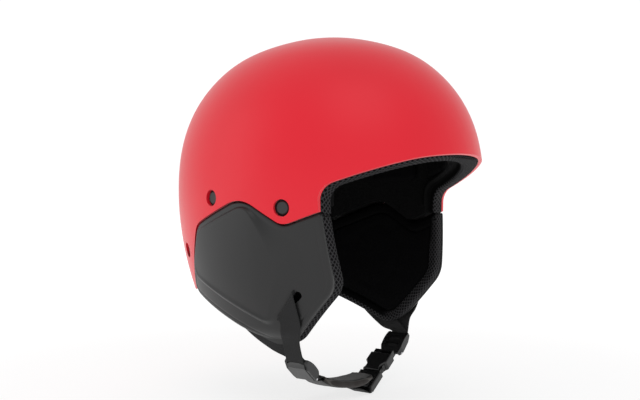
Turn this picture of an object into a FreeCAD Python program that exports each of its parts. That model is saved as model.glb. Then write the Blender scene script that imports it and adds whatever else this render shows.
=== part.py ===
import FreeCAD, Part
import math
import os

V = FreeCAD.Vector

# Axes: +Z up, -Y to the front of the helmet, -X to the wearer's right.
# Origin: centre of the dome, level with its widest section. All sizes in mm.

# Hard shell: a dome of two half ellipses joined above the ears.
HALF_WIDTH = 111.7
FRONT_LENGTH = 135.8
REAR_LENGTH = 140.2
CROWN_HEIGHT = 125.8
CROWN_POWER = 2.266
TUCK = 0.139
TUCK_DEPTH = 94.96
HEM_DEPTH = 128.0
SHELL = 3.0
REACH = 170.0

# Layers under the shell, counted inwards from the dome's outer face.
STRAP_GAP = 0.35
WEB = 1.3
LINER_FROM = SHELL + 2 * STRAP_GAP + WEB + 0.2
LINER = 17.0
PAD_GAP = 0.3
COMFORT = 6.0
EDGE_BAND = 7.5

# Ear pads: their outer face bulges past the dome, and their foot is rounded.
COVER_RECESS = 0.9
PAD_FLARE = 0.00018
FOOT_START = 108.0
FOOT_RADIUS = 13.0
PAD_THICKNESS = 11.0
EDGING_WIDTH = 9.0
FLEECE = 1.5
CUP_RAISE = 2.6
CUP_SLOPE = 0.93
ARCH_GAP_Y = -0.4
ARCH_GAP_Z = -0.9

# Strap anchors: side positions (y, z), hole, screw head and T-nut.
ANCHOR_FRONT = (-34.3, -18.0)
ANCHOR_MIDDLE = (34.4, -10.2)
ANCHOR_REAR = (84.1, -53.0)
HOLE_RADIUS = 6.4
HEAD_RADIUS = 5.1
HEAD_RECESS = 1.8
STUD_RADIUS = 2.0
STUD_PLAY = 0.15
NUT_RADIUS = 7.0
NUT_FLANGE = 1.0
NUT_BARREL = 3.6
NUT_DEPTH = 8.0

# Webbing, strap slot and strap routes.
WEB_WIDTH = 16.0
SLOT_START = (-18.4, -99.8)
SLOT_END = (-40.2, -80.2)
SLOT_WIDTH = 4.6
REAR_EXIT = (3.4, -113.7)

# Strap dividers, placed by the middle of their base plate and their lean.
DIVIDER_AT = (-67.6, -26.0, -138.2)
DIVIDER_LEAN = 41.5
DIVIDER_LENGTH = 24.0
DIVIDER_WIDTH = 21.0
DIVIDER_BASE = 1.8
DIVIDER_RAIL = 2.2
DIVIDER_HEIGHT = 7.6
DIVIDER_ARCH = 2.4
LEVER_FROM = 5.2
LEVER_PIN_U = 8.6
LEVER_PIN_N = 6.3
PIN_RADIUS = 0.9
PIN_PLAY = 0.06
SIDE_PLAY = 0.35

# Side-release buckle, placed by the middle of its top edge and its lean.
BUCKLE_AT = (53.4, -26.0, -146.8)
BUCKLE_LEAN = 32.2
BUCKLE_WIDTH = 21.0
SOCKET_LENGTH = 27.0
SOCKET_HEIGHT = 9.0
SOCKET_WALL = 1.8
SOCKET_FLOOR = 7.6
PLUG_FROM = 27.4
PLUG_TO = 46.5
PLUG_HEIGHT = 7.0
ARM_THICK = 4.4
ARM_TIP = 9.4
TONGUE_HALF = 1.8
THUMB_AT = 22.6
THUMB_RADIUS = 7.2

# Chin pad sleeve.
CHIN_PAD_WIDTH = 26.0
CHIN_PAD_THICK = 6.4
CHIN_ROUTE = [(-55.5, -150.2), (-46.0, -155.6), (-30.0, -160.6), (-12.0, -163.4), (4.0, -163.8), (17.0, -160.6), (24.0, -155.6)]

# Goggle-strap clip at the back.
CLIP_AT = -30.0
CLIP_WIDTH = 30.0
CLIP_TALL = 30.0
CLIP_PLATE = 2.4
CLIP_ARM = 2.6
CLIP_GAP = 5.0
CLIP_PIN_RADIUS = 1.2


def fullness(z):
    """Dome radius at height z, as a share of its widest radius."""
    if z >= 0:
        return (1 - (z / CROWN_HEIGHT) ** CROWN_POWER) ** (1 / CROWN_POWER)
    return 1 - TUCK * (z / TUCK_DEPTH) ** 2


def half_length(y):
    """Length of the half ellipse that y lies on."""
    return FRONT_LENGTH if y < 0 else REAR_LENGTH


def flared_fullness(z):
    """Radius share of the ear pads' outer face, with the rounded foot."""
    share = fullness(z) - PAD_FLARE * z
    below = -z - FOOT_START
    if below <= 0:
        return share
    below = min(below, FOOT_RADIUS)
    return share - (FOOT_RADIUS - math.sqrt(FOOT_RADIUS ** 2 - below ** 2)) / HALF_WIDTH


def side_x(y, z, inset, share=fullness):
    """Distance from the middle plane to a layer of the dome at (y, z)."""
    radius = HALF_WIDTH * share(z) - inset
    length = radius * (half_length(y) - inset) / (HALF_WIDTH - inset)
    return radius * math.sqrt(max(0.0, 1 - (y / length) ** 2))


def side_normal(y, z):
    """Outward unit normal of the dome at (y, z) on the wearer's right."""
    step = 0.5
    slope_y = (side_x(y + step, z, 0) - side_x(y - step, z, 0)) / (2 * step)
    slope_z = (side_x(y, z + step, 0) - side_x(y, z - step, 0)) / (2 * step)
    return V(-1, -slope_y, -slope_z).normalize()


def side_point(y, z, inset):
    """Point that far inside the dome's face at (y, z), on the wearer's right."""
    return V(-side_x(y, z, 0), y, z) - side_normal(y, z) * inset


def spline(points, start=None, end=None):
    """Smooth curve through the points, with end tangents if given."""
    curve = Part.BSplineCurve()
    if start is None:
        curve.interpolate(points)
    else:
        curve.interpolate(Points=points, InitialTangent=start, FinalTangent=end)
    return curve


def dome_half(inset, share, turn, length):
    """Front or rear half of a solid dome."""
    radius = HALF_WIDTH - inset
    crown = CROWN_HEIGHT - inset
    points = [V(HALF_WIDTH * share(-z) - inset, 0, -z) for z in (HEM_DEPTH, 118, 108, 90, 60, 30)]
    for step in range(6):
        angle = math.radians(15 * step)
        points.append(V(radius * math.cos(angle) ** (2 / CROWN_POWER), 0, crown * math.sin(angle) ** (2 / CROWN_POWER)))
    points.append(V(0, 0, crown))
    side = spline(points, points[1] - points[0], V(-1, 0, 0)).toShape()
    base = V(0, 0, points[0].z)
    face = Part.Face(Part.Wire([side, Part.makeLine(points[-1], base), Part.makeLine(base, points[0])]))
    scale = FreeCAD.Matrix()
    scale.A22 = (length - inset) / radius
    return face.revolve(V(0, 0, 0), V(0, 0, 1), turn).transformGeometry(scale)


def dome(inset, share=fullness):
    """Solid dome whose face lies inset inside the shell's outer face."""
    front = dome_half(inset, share, -180, FRONT_LENGTH)
    rear = dome_half(inset, share, 180, REAR_LENGTH)
    return front.fuse(rear)


def rounded(corners):
    """Closed wire through (y, z) or (y, z, radius) corners, each radius an arc."""
    points = [V(0, c[0], c[1]) for c in corners]
    cuts = []
    for i, corner in enumerate(corners):
        here = points[i]
        back = (points[i - 1] - here).normalize()
        ahead = (points[(i + 1) % len(points)] - here).normalize()
        if len(corner) == 2:
            cuts.append((here, None, here))
            continue
        half = back.getAngle(ahead) / 2
        reach = corner[2] / math.tan(half)
        middle = here + (back + ahead).normalize() * (corner[2] / math.sin(half) - corner[2])
        cuts.append((here + back * reach, middle, here + ahead * reach))
    edges = []
    for i, (start, middle, end) in enumerate(cuts):
        if middle is not None:
            edges.append(Part.Arc(start, middle, end).toShape())
        following = cuts[(i + 1) % len(cuts)][0]
        if (following - end).Length > 1e-6:
            edges.append(Part.makeLine(end, following))
    return Part.Wire(edges)


def prism(wire, low, high):
    """The side outline pushed along X from low to high."""
    solid = Part.Face(wire).extrude(V(high - low, 0, 0))
    solid.translate(V(low, 0, 0))
    return solid


def strip(start, end, width, before, after):
    """Side outline of a straight strap, longer by before at its start and by after at its end."""
    first = V(0, *start)
    last = V(0, *end)
    along = (last - first).normalize()
    across = V(0, -along.z, along.y) * (width / 2)
    first = first - along * before
    last = last + along * after
    return Part.makePolygon([first + across, last + across, last - across, first - across, first + across])


def behind_brow(shift):
    """Everything above the brow line and behind the temple line."""
    corners = [(-165, 31.5), (-118, 18.6, 120), (-61.1, -3.0, 14), (-61.1, -150), (REACH, -150), (REACH, 150), (-165, 150)]
    solid = prism(rounded(corners), -REACH, REACH)
    solid.translate(V(0, shift, shift))
    return solid


def above_arch(shift_y, shift_z):
    """Everything above the ear arches and the nape line."""
    arch = [(-61.1, -20.8), (-34.0, -30.9, 12), (2.0, -9.5, 29), (58.0, -30.8, 16), (83.5, -87.0, 10)]
    corners = [(-REACH, -20.8)] + arch + [(REACH + 10, -88.0), (REACH + 10, 160), (-REACH, 160)]
    solid = prism(rounded(corners), -REACH, REACH)
    solid.translate(V(0, shift_y, shift_z))
    return solid


def ear_outline():
    """Side outline of an ear pad, running on under the arch above it."""
    return rounded([(-61.2, -2), (-66.4, -76.6, 22), (-22.0, -126.1, 24), (90.0, -83.0), (90.0, -2)])


def cup_outline(scale):
    """Side outline of the raised ear cup, scaled about its middle."""
    corners = [(-1, -15, 14), (55, -35.5, 14), (72.0, -72, 10), (-13, -107.0, 12), (-45.5, -73.5, 22), (-51, -48, 20), (-22, -30, 30)]
    wire = rounded(corners)
    grow = FreeCAD.Matrix()
    grow.move(V(0, -8, 62))
    grow.scale(1, scale, scale)
    grow.move(V(0, 8, -62))
    return wire.transformGeometry(grow)


def rod(start, direction, radius, length):
    """Round bar from start along the direction."""
    return Part.makeCylinder(radius, length, start, direction)


def mirrored(shape):
    """The same piece on the wearer's left."""
    return shape.mirror(V(0, 0, 0), V(1, 0, 0))


def both_sides(shapes):
    """The pieces and their mirror images, as one group."""
    return Part.makeCompound(shapes + [mirrored(s) for s in shapes])


def anchor_rods(inset_from, inset_to, radius, places=(ANCHOR_FRONT, ANCHOR_MIDDLE, ANCHOR_REAR)):
    """A round bar on each anchor's axis between two depths, on the wearer's right."""
    rods = []
    for y, z in places:
        rods.append(rod(side_point(y, z, inset_from), side_normal(y, z) * -1, radius, inset_to - inset_from))
    return rods


def make_shell(outer, inner):
    """Hard shell with a hole at each anchor."""
    shell = outer.cut(inner).common(behind_brow(0)).common(above_arch(0, 0))
    holes = anchor_rods(-5, SHELL + 3, HOLE_RADIUS)
    return shell.cut(both_sides(holes))


def anchor_screws():
    """Screws that hold the straps and the ear pads: a chamfered head in the shell's hole, and a stud."""
    screws = []
    for y, z in (ANCHOR_FRONT, ANCHOR_MIDDLE, ANCHOR_REAR):
        inward = side_normal(y, z) * -1
        head_top = side_point(y, z, HEAD_RECESS)
        chamfer = 0.8
        crown = Part.makeCone(HEAD_RADIUS - chamfer, HEAD_RADIUS, chamfer, head_top, inward)
        head = rod(head_top + inward * chamfer, inward, HEAD_RADIUS, SHELL + STRAP_GAP / 2 - HEAD_RECESS - chamfer)
        stud = rod(head_top + inward * chamfer, inward, STUD_RADIUS, LINER_FROM + NUT_DEPTH - HEAD_RECESS - chamfer - 1)
        screws.append(crown.fuse(head).fuse(stud))
    return both_sides(screws)


def anchor_nuts():
    """T-nuts sunk in the foam liner behind the anchors."""
    nuts = []
    flanges = anchor_rods(LINER_FROM + 0.15, LINER_FROM + 0.15 + NUT_FLANGE, NUT_RADIUS)
    barrels = anchor_rods(LINER_FROM + 0.15, LINER_FROM + NUT_DEPTH, NUT_BARREL)
    bores = anchor_rods(LINER_FROM - 2, LINER_FROM + NUT_DEPTH + 2, STUD_RADIUS + 0.02)
    for flange, barrel, bore in zip(flanges, barrels, bores):
        nuts.append(flange.fuse(barrel).cut(bore))
    return both_sides(nuts)


def make_liner(outer, inner):
    """Impact foam under the shell, with a pocket for each T-nut."""
    liner = outer.cut(inner).common(behind_brow(EDGE_BAND)).common(above_arch(0.4, 1.2))
    sinks = anchor_rods(LINER_FROM - 4, LINER_FROM + 0.25 + NUT_FLANGE, NUT_RADIUS + 0.2)
    wells = anchor_rods(LINER_FROM - 4, LINER_FROM + NUT_DEPTH + 0.5, NUT_BARREL + 0.1)
    return liner.cut(both_sides(sinks + wells))


def make_brow_edging(outer, inner):
    """Mesh-covered band that closes the edge of the liner round the face."""
    band = outer.cut(inner).common(behind_brow(-1.2)).cut(behind_brow(EDGE_BAND - PAD_GAP))
    return band.common(above_arch(0.4, 1.2))


def comfort_zone(low_y, high_y, low_z, high_z, radius):
    """Rounded side outline of one comfort pad, through the whole width."""
    corners = [(low_y, low_z, radius), (high_y, low_z, radius), (high_y, high_z, radius), (low_y, high_z, radius)]
    return prism(rounded(corners), -REACH, REACH)


def comfort_pads(layer):
    """Crown, brow, nape and temple pads cut from the lining layer."""
    crown = layer.common(Part.makeCylinder(52, REACH, V(0, -2, 20)))
    behind = behind_brow(EDGE_BAND)
    brow_zone = comfort_zone(-160, -52, 2, 62, 8)
    brow = layer.common(brow_zone).common(behind)
    nape = layer.common(comfort_zone(62, 160, -82, 12, 9)).common(above_arch(2.5, 3.5))
    temple = layer.common(prism(rounded([(-46, 6, 8), (54, 6, 8), (54, 52, 12), (-46, 52, 12)]), -REACH, 0))
    return crown, brow, nape, temple


def pad_dots(face, back):
    """Hook-and-loop dots between the liner and the comfort pads."""
    layer = face.cut(back)
    spots = [V(0, -110, 40), V(60, -85, 40), V(0, 120, -20), V(55, 95, -20), V(100, 0, 30), V(88, -30, 30)]
    dots = []
    for spot in spots:
        axis = V(spot.x, spot.y, 0)
        for side in {1, 1 if spot.x == 0 else -1}:
            reach = rod(V(0, 0, spot.z), V(axis.x * side, axis.y, 0), 7, REACH)
            dots.append(layer.common(reach))
    dots.append(layer.common(rod(V(0, -2, 60), V(0, 0, 1), 9, REACH)))
    return Part.makeCompound(dots)


def strap_lanes(play):
    """Side outlines of the two straps where they run inside the ear pad."""
    middle = tuple((a + b) / 2 for a, b in zip(SLOT_START, SLOT_END))
    front = prism(strip(ANCHOR_FRONT, middle, WEB_WIDTH + 2 * play, 9 + play, 9 + play), -REACH, -20)
    rear = prism(strip(ANCHOR_REAR, REAR_EXIT, WEB_WIDTH + 2 * play, 9 + play, play), -REACH, -20)
    return front, rear


def slot_prism(play):
    """The slanted strap slot in an ear pad's cover."""
    first = V(0, *SLOT_START)
    last = V(0, *SLOT_END)
    along = (last - first).normalize()
    across = V(0, -along.z, along.y) * (SLOT_WIDTH / 2 + play)
    tip = last + along * (SLOT_WIDTH / 2 + play)
    tail = first - along * (SLOT_WIDTH / 2 + play)
    edges = [
        Part.makeLine(first - across, last - across),
        Part.Arc(last - across, tip, last + across).toShape(),
        Part.makeLine(last + across, first + across),
        Part.Arc(first + across, tail, first - across).toShape(),
    ]
    return prism(Part.Wire(edges), -REACH, -20)


def ear_cover(flared, skin_inner, ear_zone, arch):
    """Smooth outer skin of the right ear pad, with the raised ear cup and the strap slot."""
    cover = flared.cut(skin_inner).common(ear_zone).cut(arch)
    low = cup_outline(1.0)
    low.translate(V(-70, 0, 0))
    high = cup_outline(CUP_SLOPE)
    high.translate(V(-125, 0, 0))
    walls = Part.makeLoft([low, high], True, True)
    cup = dome(COVER_RECESS - CUP_RAISE, flared_fullness).cut(skin_inner).common(walls)
    return cover.fuse(cup).cut(slot_prism(0))


def ear_layers(band, foam_layer, fleece_layer, ear_zone, core_zone, arch):
    """Mesh edging, foam core and fleece lining of the right ear pad."""
    front_lane, rear_lane = strap_lanes(PAD_GAP)
    lane = dome(SHELL).cut(dome(LINER_FROM - 0.1))
    route_out = rear_stations() + rear_run()[:1]
    exit_room = ribbon([(middle, half * 1.06, normal) for middle, half, normal in route_out], WEB + 4 * PAD_GAP)
    edging = band.common(ear_zone).cut(core_zone).cut(arch)
    edging = edging.cut(lane.common(front_lane.fuse(rear_lane))).cut(exit_room)
    edging = max(edging.Solids, key=lambda solid: solid.Volume)
    core = prism(ear_outline().makeOffset2D(-EDGING_WIDTH - PAD_GAP), -REACH, -10)
    foam = foam_layer.common(core).cut(arch)
    fleece = fleece_layer.common(core).cut(arch)
    return edging, foam, fleece


def ear_tongue(lane_layer):
    """Stiff tongue that holds the right ear pad up between the shell and the liner."""
    zone = prism(rounded([(12, -58, 6), (50, -58, 6), (50, 6, 10), (12, 6, 10)]), -REACH, -20)
    hole = anchor_rods(-5, 20, STUD_RADIUS + STUD_PLAY, (ANCHOR_MIDDLE,))
    return lane_layer.common(zone).cut(hole[0])


def ribbon(stations, thickness):
    """Flat webbing through stations of (middle, half-width vector, face normal)."""
    sections = []
    for middle, side, normal in stations:
        rise = V(normal).normalize() * (thickness / 2)
        corners = [middle + side + rise, middle - side + rise, middle - side - rise, middle + side - rise]
        sections.append(Part.makePolygon(corners + corners[:1]))
    return Part.makeLoft(sections, True, True)


def route(points, y, width, thickness, steps):
    """Webbing of constant width along Y that follows a smooth (x, z) route."""
    curve = spline([V(x, y, z) for x, z in points])
    stations = []
    for step in range(steps + 1):
        at = curve.FirstParameter + (curve.LastParameter - curve.FirstParameter) * step / steps
        tangent = curve.tangent(at)[0]
        stations.append((curve.value(at), V(0, width / 2, 0), tangent.cross(V(0, 1, 0))))
    return ribbon(stations, thickness)


def divider_frame_axes():
    """Local axes of the right divider: down the strap, across it, and out of its face."""
    lean = math.radians(DIVIDER_LEAN)
    down = V(math.cos(lean), 0, -math.sin(lean))
    out = V(-math.sin(lean), 0, -math.cos(lean))
    return down, V(0, 1, 0), out


def placed(shape, at, axes):
    """Move a piece built on X, Y, Z to a point with new axes."""
    a, b, c = axes
    matrix = FreeCAD.Matrix(a.x, b.x, c.x, at[0], a.y, b.y, c.y, at[1], a.z, b.z, c.z, at[2], 0, 0, 0, 1)
    shape = shape.copy()
    shape.transformShape(matrix, True)
    return shape


def block(low, high):
    """Box between two corners."""
    return Part.makeBox(high[0] - low[0], high[1] - low[1], high[2] - low[2], V(*low))


def with_fillets(solid, radius, wanted):
    """Round the edges for which wanted is true."""
    return solid.makeFillet(radius, [e for e in solid.Edges if wanted(e)])


def upright(edge):
    """True for a straight edge along the third axis."""
    ends = edge.Vertexes
    if len(ends) != 2 or edge.Curve.TypeId != "Part::GeomLine":
        return False
    run = ends[1].Point - ends[0].Point
    return abs(run.x) < 1e-6 and abs(run.y) < 1e-6


def divider_profile():
    """Arched side outline of a divider through its whole width: hollow towards the wearer, rounded at the ends."""
    half = DIVIDER_LENGTH / 2
    arch = (half ** 2 + DIVIDER_ARCH ** 2) / (2 * DIVIDER_ARCH)
    belly = rod(V(0, -DIVIDER_WIDTH, arch), V(0, 1, 0), arch, 2 * DIVIDER_WIDTH)
    top = DIVIDER_HEIGHT + 0.5
    corners = [(-half, -1, 0.5), (half, -1, 0.5), (half, top - 2.2, 1.2), (half - 3, top, 3)]
    corners += [(-4.0, top, 8), (-half, top - 3.4, 2.2)]
    outline = prism(rounded(corners), -DIVIDER_WIDTH, DIVIDER_WIDTH)
    outline.rotate(V(0, 0, 0), V(0, 0, 1), -90)
    return outline.common(belly)


def divider_frame():
    """Divider base plate with side rails that narrow towards the chin, and two web windows."""
    half = DIVIDER_LENGTH / 2
    wide = DIVIDER_WIDTH / 2
    corners = [V(-half, -wide, 0), V(half - 6, -wide, 0), V(half, -wide + 2, 0), V(half, wide - 2, 0)]
    corners += [V(half - 6, wide, 0), V(-half, wide, 0)]
    plan = Part.Face(Part.makePolygon(corners + corners[:1]))
    body = with_fillets(plan.extrude(V(0, 0, DIVIDER_HEIGHT)), 1.6, upright).common(divider_profile())
    hollow = block((-half - 1, -wide + DIVIDER_RAIL, DIVIDER_BASE), (half + 1, wide - DIVIDER_RAIL, DIVIDER_HEIGHT + 1))
    body = body.cut(hollow)
    window = block((-5, -wide + 4, -1), (-1, wide - 4, DIVIDER_BASE + 1))
    second = block((2, -wide + 4, -1), (6, wide - 4, DIVIDER_BASE + 1))
    bore = rod(V(LEVER_PIN_U, -wide - 1, LEVER_PIN_N), V(0, 1, 0), PIN_RADIUS, DIVIDER_WIDTH + 2)
    return body.cut(window).cut(second).cut(bore)


def divider_lever():
    """Clamp lever that swings on its pin, with a scooped finger grip at the free end."""
    half = DIVIDER_LENGTH / 2
    wide = DIVIDER_WIDTH / 2 - DIVIDER_RAIL - SIDE_PLAY
    knuckle = DIVIDER_HEIGHT - LEVER_PIN_N + 0.3
    plate = block((-half + 0.5, -wide, LEVER_FROM), (LEVER_PIN_U, wide, DIVIDER_HEIGHT + 0.3))
    end = rod(V(LEVER_PIN_U, -wide, LEVER_PIN_N), V(0, 1, 0), knuckle, 2 * wide)
    scoop = rod(V(-half - 1.5, -wide - 1, DIVIDER_HEIGHT + 6.6), V(0, 1, 0), 8.7, 2 * wide + 2)
    bore = rod(V(LEVER_PIN_U, -wide - 1, LEVER_PIN_N), V(0, 1, 0), PIN_RADIUS + PIN_PLAY, 2 * wide + 2)
    lever = plate.fuse(end).cut(scoop).cut(bore)
    tip = Part.makeCylinder(14.5, 30, V(-half + 14.5, 0, -5))
    body = block((-half + 14.5, -wide - 1, -5), (half + 5, wide + 1, 25))
    return lever.common(tip.fuse(body))


def divider_pin():
    """Hinge pin through both rails."""
    start = V(LEVER_PIN_U, -DIVIDER_WIDTH / 2 + 0.2, LEVER_PIN_N)
    return rod(start, V(0, 1, 0), PIN_RADIUS, DIVIDER_WIDTH - 0.4)


def layer_point(y, z, inset, share=fullness):
    """Point of a dome layer at (y, z), on the wearer's right."""
    return V(-side_x(y, z, inset, share), y, z)


def layer_station(middle, half, inset, normal, share=fullness):
    """Webbing station whose two edges lie on a dome layer."""
    high = layer_point(middle[0] + half[0], middle[1] + half[1], inset, share)
    low = layer_point(middle[0] - half[0], middle[1] - half[1], inset, share)
    return ((high + low) / 2, (high - low) / 2, normal)


def divider_entry(lane):
    """Point inside the right divider where a strap lies flat: lane 0 rests on the base, lane 1 on lane 0."""
    down, _, out = divider_frame_axes()
    height = DIVIDER_BASE + 0.3 + WEB / 2 + lane * (WEB + 0.25)
    return V(*DIVIDER_AT) - down * (DIVIDER_LENGTH / 2 - 3) + out * height


def divider_stations(lane):
    """Last stations of a strap, flat between the divider's rails."""
    down, _, out = divider_frame_axes()
    entry = divider_entry(lane)
    level = V(0, WEB_WIDTH / 2, 0)
    return [(entry - down * 3.6, level, out), (entry, level, out), (entry + down * 9, level, out)]


def front_strap(lane_layer):
    """Right front strap: from its anchor down inside the pad, out of the slot and down to the divider."""
    middle = tuple((a + b) / 2 for a, b in zip(SLOT_START, SLOT_END))
    hole = anchor_rods(-5, 20, STUD_RADIUS + STUD_PLAY, (ANCHOR_FRONT,))[0]
    slant = (V(0, *SLOT_START) - V(0, *SLOT_END)).normalize()
    far = V(0, *SLOT_START) + slant * 40
    near = V(0, *SLOT_END) - slant * 40
    below = Part.Face(Part.makePolygon([far, near, V(0, -100, -200), V(0, 100, -200), far])).extrude(V(-REACH, 0, 0))
    hidden = lane_layer.common(strap_lanes(0)[0]).cut(hole).cut(below)
    inset = SHELL + STRAP_GAP + WEB / 2
    rest = -STRAP_GAP - WEB / 2
    run = (V(0, *middle) - V(0, *ANCHOR_FRONT)).normalize()
    reach = WEB_WIDTH / 2 / abs(slant.y * run.z - slant.z * run.y)
    skew = (slant.y * reach, slant.z * reach)
    stations = [
        layer_station((middle[0], middle[1] + 2.0), skew, inset, V(-1, 0, 0)),
        layer_station((middle[0], middle[1] - 1.6), skew, rest - 0.7, V(-1, 0, 0.5), flared_fullness),
        layer_station((-27.6, -101.0), (WEB_WIDTH / 2, -2.5), rest, V(-1, 0, 0.25), flared_fullness),
        layer_station((-26.4, -110.0), (WEB_WIDTH / 2, 0), rest, V(-1, 0, 0.45), flared_fullness),
        (V(-84.6, DIVIDER_AT[1], -119.5), V(0, WEB_WIDTH / 2, 0), V(-1, 0, -0.2)),
    ]
    return hidden.fuse(ribbon(stations + divider_stations(1), WEB))


def rear_stations():
    """Stations of the right rear strap from just inside the pad's foot to above the divider."""
    run = (V(0, *REAR_EXIT) - V(0, *ANCHOR_REAR)).normalize()
    half = (run.z * WEB_WIDTH / 2, -run.y * WEB_WIDTH / 2)
    inset = SHELL + STRAP_GAP + WEB / 2
    lead = V(0, *REAR_EXIT) - run * 3
    return [
        layer_station((lead.y, lead.z), half, inset, V(-1, 0, 0.35)),
        layer_station((-5.3, -118.7), (-3.3, 7.3), inset, V(-1, 0, 0.35)),
        (V(-79.6, -15.8, -125.2), V(-0.8, -6.6, 4.2), V(-1, 0, -0.1)),
    ]


def rear_run():
    """Last stations of the right rear strap, turned over between the divider's rails."""
    return [(middle, side * -1, normal) for middle, side, normal in divider_stations(0)]


def rear_strap(lane_layer):
    """Right rear strap: from its anchor along inside the pad, out of its foot and forward to the divider."""
    hole = anchor_rods(-5, 20, STUD_RADIUS + STUD_PLAY, (ANCHOR_REAR,))[0]
    hidden = lane_layer.common(prism(strip(ANCHOR_REAR, REAR_EXIT, WEB_WIDTH, 9, 0), -REACH, -20)).cut(hole)
    return hidden.fuse(ribbon(rear_stations() + rear_run(), WEB))


def buckle_axes():
    """Local axes of the buckle: towards the chin, across it, and out of its face."""
    lean = math.radians(BUCKLE_LEAN)
    return V(-math.cos(lean), 0, -math.sin(lean)), V(0, -1, 0), V(math.sin(lean), 0, -math.cos(lean))


def thumb_cuts(radius, height):
    """The two scooped side openings where the latch arms are squeezed."""
    cuts = []
    for side in (-1, 1):
        cuts.append(rod(V(THUMB_AT, side * (BUCKLE_WIDTH / 2 + 3.2), -height), V(0, 0, 1), radius, 2 * height))
    return Part.makeCompound(cuts)


def buckle_socket():
    """Socket half: open box with a web bar at the top and side openings for the latch arms."""
    wide = BUCKLE_WIDTH / 2
    high = SOCKET_HEIGHT / 2
    head = block((0, -wide + 1.5, -high + 1.5), (SOCKET_FLOOR, wide - 1.5, high - 1.5))
    body = with_fillets(block((5.4, -wide, -high), (SOCKET_LENGTH, wide, high)), 1.2, lambda e: e.Length > 20)
    room = block((SOCKET_FLOOR, -wide + SOCKET_WALL, -high + SOCKET_WALL), (SOCKET_LENGTH + 1, wide - SOCKET_WALL, high - SOCKET_WALL))
    web_slot = block((1.8, -wide + 2.2, -high), (4.8, wide - 2.2, high))
    return head.fuse(body).cut(room).cut(web_slot).cut(thumb_cuts(THUMB_RADIUS, SOCKET_HEIGHT))


def buckle_plug():
    """Plug half: ladder-lock base with a guide tongue that enters the socket."""
    wide = BUCKLE_WIDTH / 2
    high = PLUG_HEIGHT / 2
    base = with_fillets(block((PLUG_FROM, -wide, -high), (PLUG_TO, wide, high)), 1.4, lambda e: e.Length > 15)
    neck = block((PLUG_FROM - 2.5, -wide + 2.2, -2.2), (PLUG_FROM + 1, wide - 2.2, 2.2))
    tongue = block((SOCKET_FLOOR + 2, -TONGUE_HALF, -1.4), (PLUG_FROM, TONGUE_HALF, 1.4))
    window = block((PLUG_TO - 5.4, -wide + 2, -high - 1), (PLUG_TO - 2.0, wide - 2, high + 1))
    second = block((PLUG_TO - 12.4, -wide + 2, -high - 1), (PLUG_TO - 8.4, wide - 2, high + 1))
    return base.fuse(neck).fuse(tongue).cut(window).cut(second)


def latch_arm(side):
    """Latch arm: a springy bar with a thumb bulge in the socket's side opening and a chamfered barb."""
    root = PLUG_FROM - 2.6
    inner = 5.2
    outer = BUCKLE_WIDTH / 2 - SOCKET_WALL - 0.35
    swell = BUCKLE_WIDTH / 2 - 1.2
    corners = [(root, inner), (root, outer - 0.6), (root - 1.5, swell - 0.5), (THUMB_AT - 2.2, swell - 1.6)]
    corners += [(THUMB_AT - 5.2, outer), (ARM_TIP + 2, outer), (ARM_TIP, outer - 2), (ARM_TIP, inner + 0.6), (ARM_TIP + 3, inner)]
    points = [V(u, side * v, -ARM_THICK / 2) for u, v in corners]
    bar = Part.Face(Part.makePolygon(points + points[:1])).extrude(V(0, 0, ARM_THICK))
    return bar


def chin_pad(web_room):
    """Padded sleeve round the chin webbing, fuller in the middle."""
    curve = spline([V(x, BUCKLE_AT[1], z) for x, z in CHIN_ROUTE])
    sections = []
    for step in range(7):
        at = curve.FirstParameter + (curve.LastParameter - curve.FirstParameter) * step / 6
        tangent = V(curve.tangent(at)[0])
        rise = tangent.cross(V(0, 1, 0)).normalize()
        swell = math.sin(math.pi * step / 6)
        half = CHIN_PAD_WIDTH / 2 - 2.5 + 2.5 * swell
        tall = CHIN_PAD_THICK / 2 - 0.8 + 0.8 * swell
        ring = []
        for across, up in ((1, 0), (0.8, 0.8), (0, 1), (-0.8, 0.8), (-1, 0), (-0.8, -0.8), (0, -1), (0.8, -0.8)):
            ring.append(curve.value(at) + V(0, half * across, 0) + rise * (tall * up))
        outline = Part.BSplineCurve()
        outline.interpolate(Points=ring, PeriodicFlag=True)
        sections.append(Part.Wire(outline.toShape()))
    return Part.makeLoft(sections, True, False).cut(web_room)


def buckle_point(u, n):
    """Point (x, z) of the buckle's local frame, u towards the chin and n out of its face."""
    toward, _, face = buckle_axes()
    point = V(*BUCKLE_AT) + toward * u + face * n
    return point.x, point.z


def divider_exit(side):
    """Start (x, z) of the webbing that leaves a divider at the bottom, on the side given by its sign of x."""
    down, _, out = divider_frame_axes()
    height = DIVIDER_BASE + 0.3 + WEB / 2
    inner = V(*DIVIDER_AT) + down * 1.5 + out * height
    middle = inner + down * 5
    outer = inner + down * 9.5
    return [(-side * point.x, point.z) for point in (inner, middle, outer)]


def chin_webs():
    """Chin webbing through the sleeve to the plug, the room it needs, and its folded tail."""
    level = -PLUG_HEIGHT / 2 - STRAP_GAP - WEB / 2
    points = divider_exit(-1) + CHIN_ROUTE[1:4] + [(-3.0, -165.0), (5.0, -166.6)]
    points += [buckle_point(PLUG_TO + 1.0, level - 0.4), buckle_point(PLUG_TO - 3.0, level)]
    points += [buckle_point(PLUG_TO - 3.7, -2.4), buckle_point(PLUG_TO - 3.7, 1.5)]
    web = route(points, BUCKLE_AT[1], WEB_WIDTH - 1, WEB, 44)
    room = route(points, BUCKLE_AT[1], WEB_WIDTH + 0.4, WEB + 1.0, 44)
    ends = [buckle_point(PLUG_TO - 10.4, 0.0), buckle_point(PLUG_TO - 10.3, 2.6), buckle_point(PLUG_TO - 8.0, 4.5)]
    ends += [buckle_point(PLUG_TO - 1.0, 4.6), (3.0, -172.6), (-5.0, -169.9)]
    tail = route(ends, BUCKLE_AT[1], WEB_WIDTH - 1, WEB, 20)
    return web, room, tail


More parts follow.
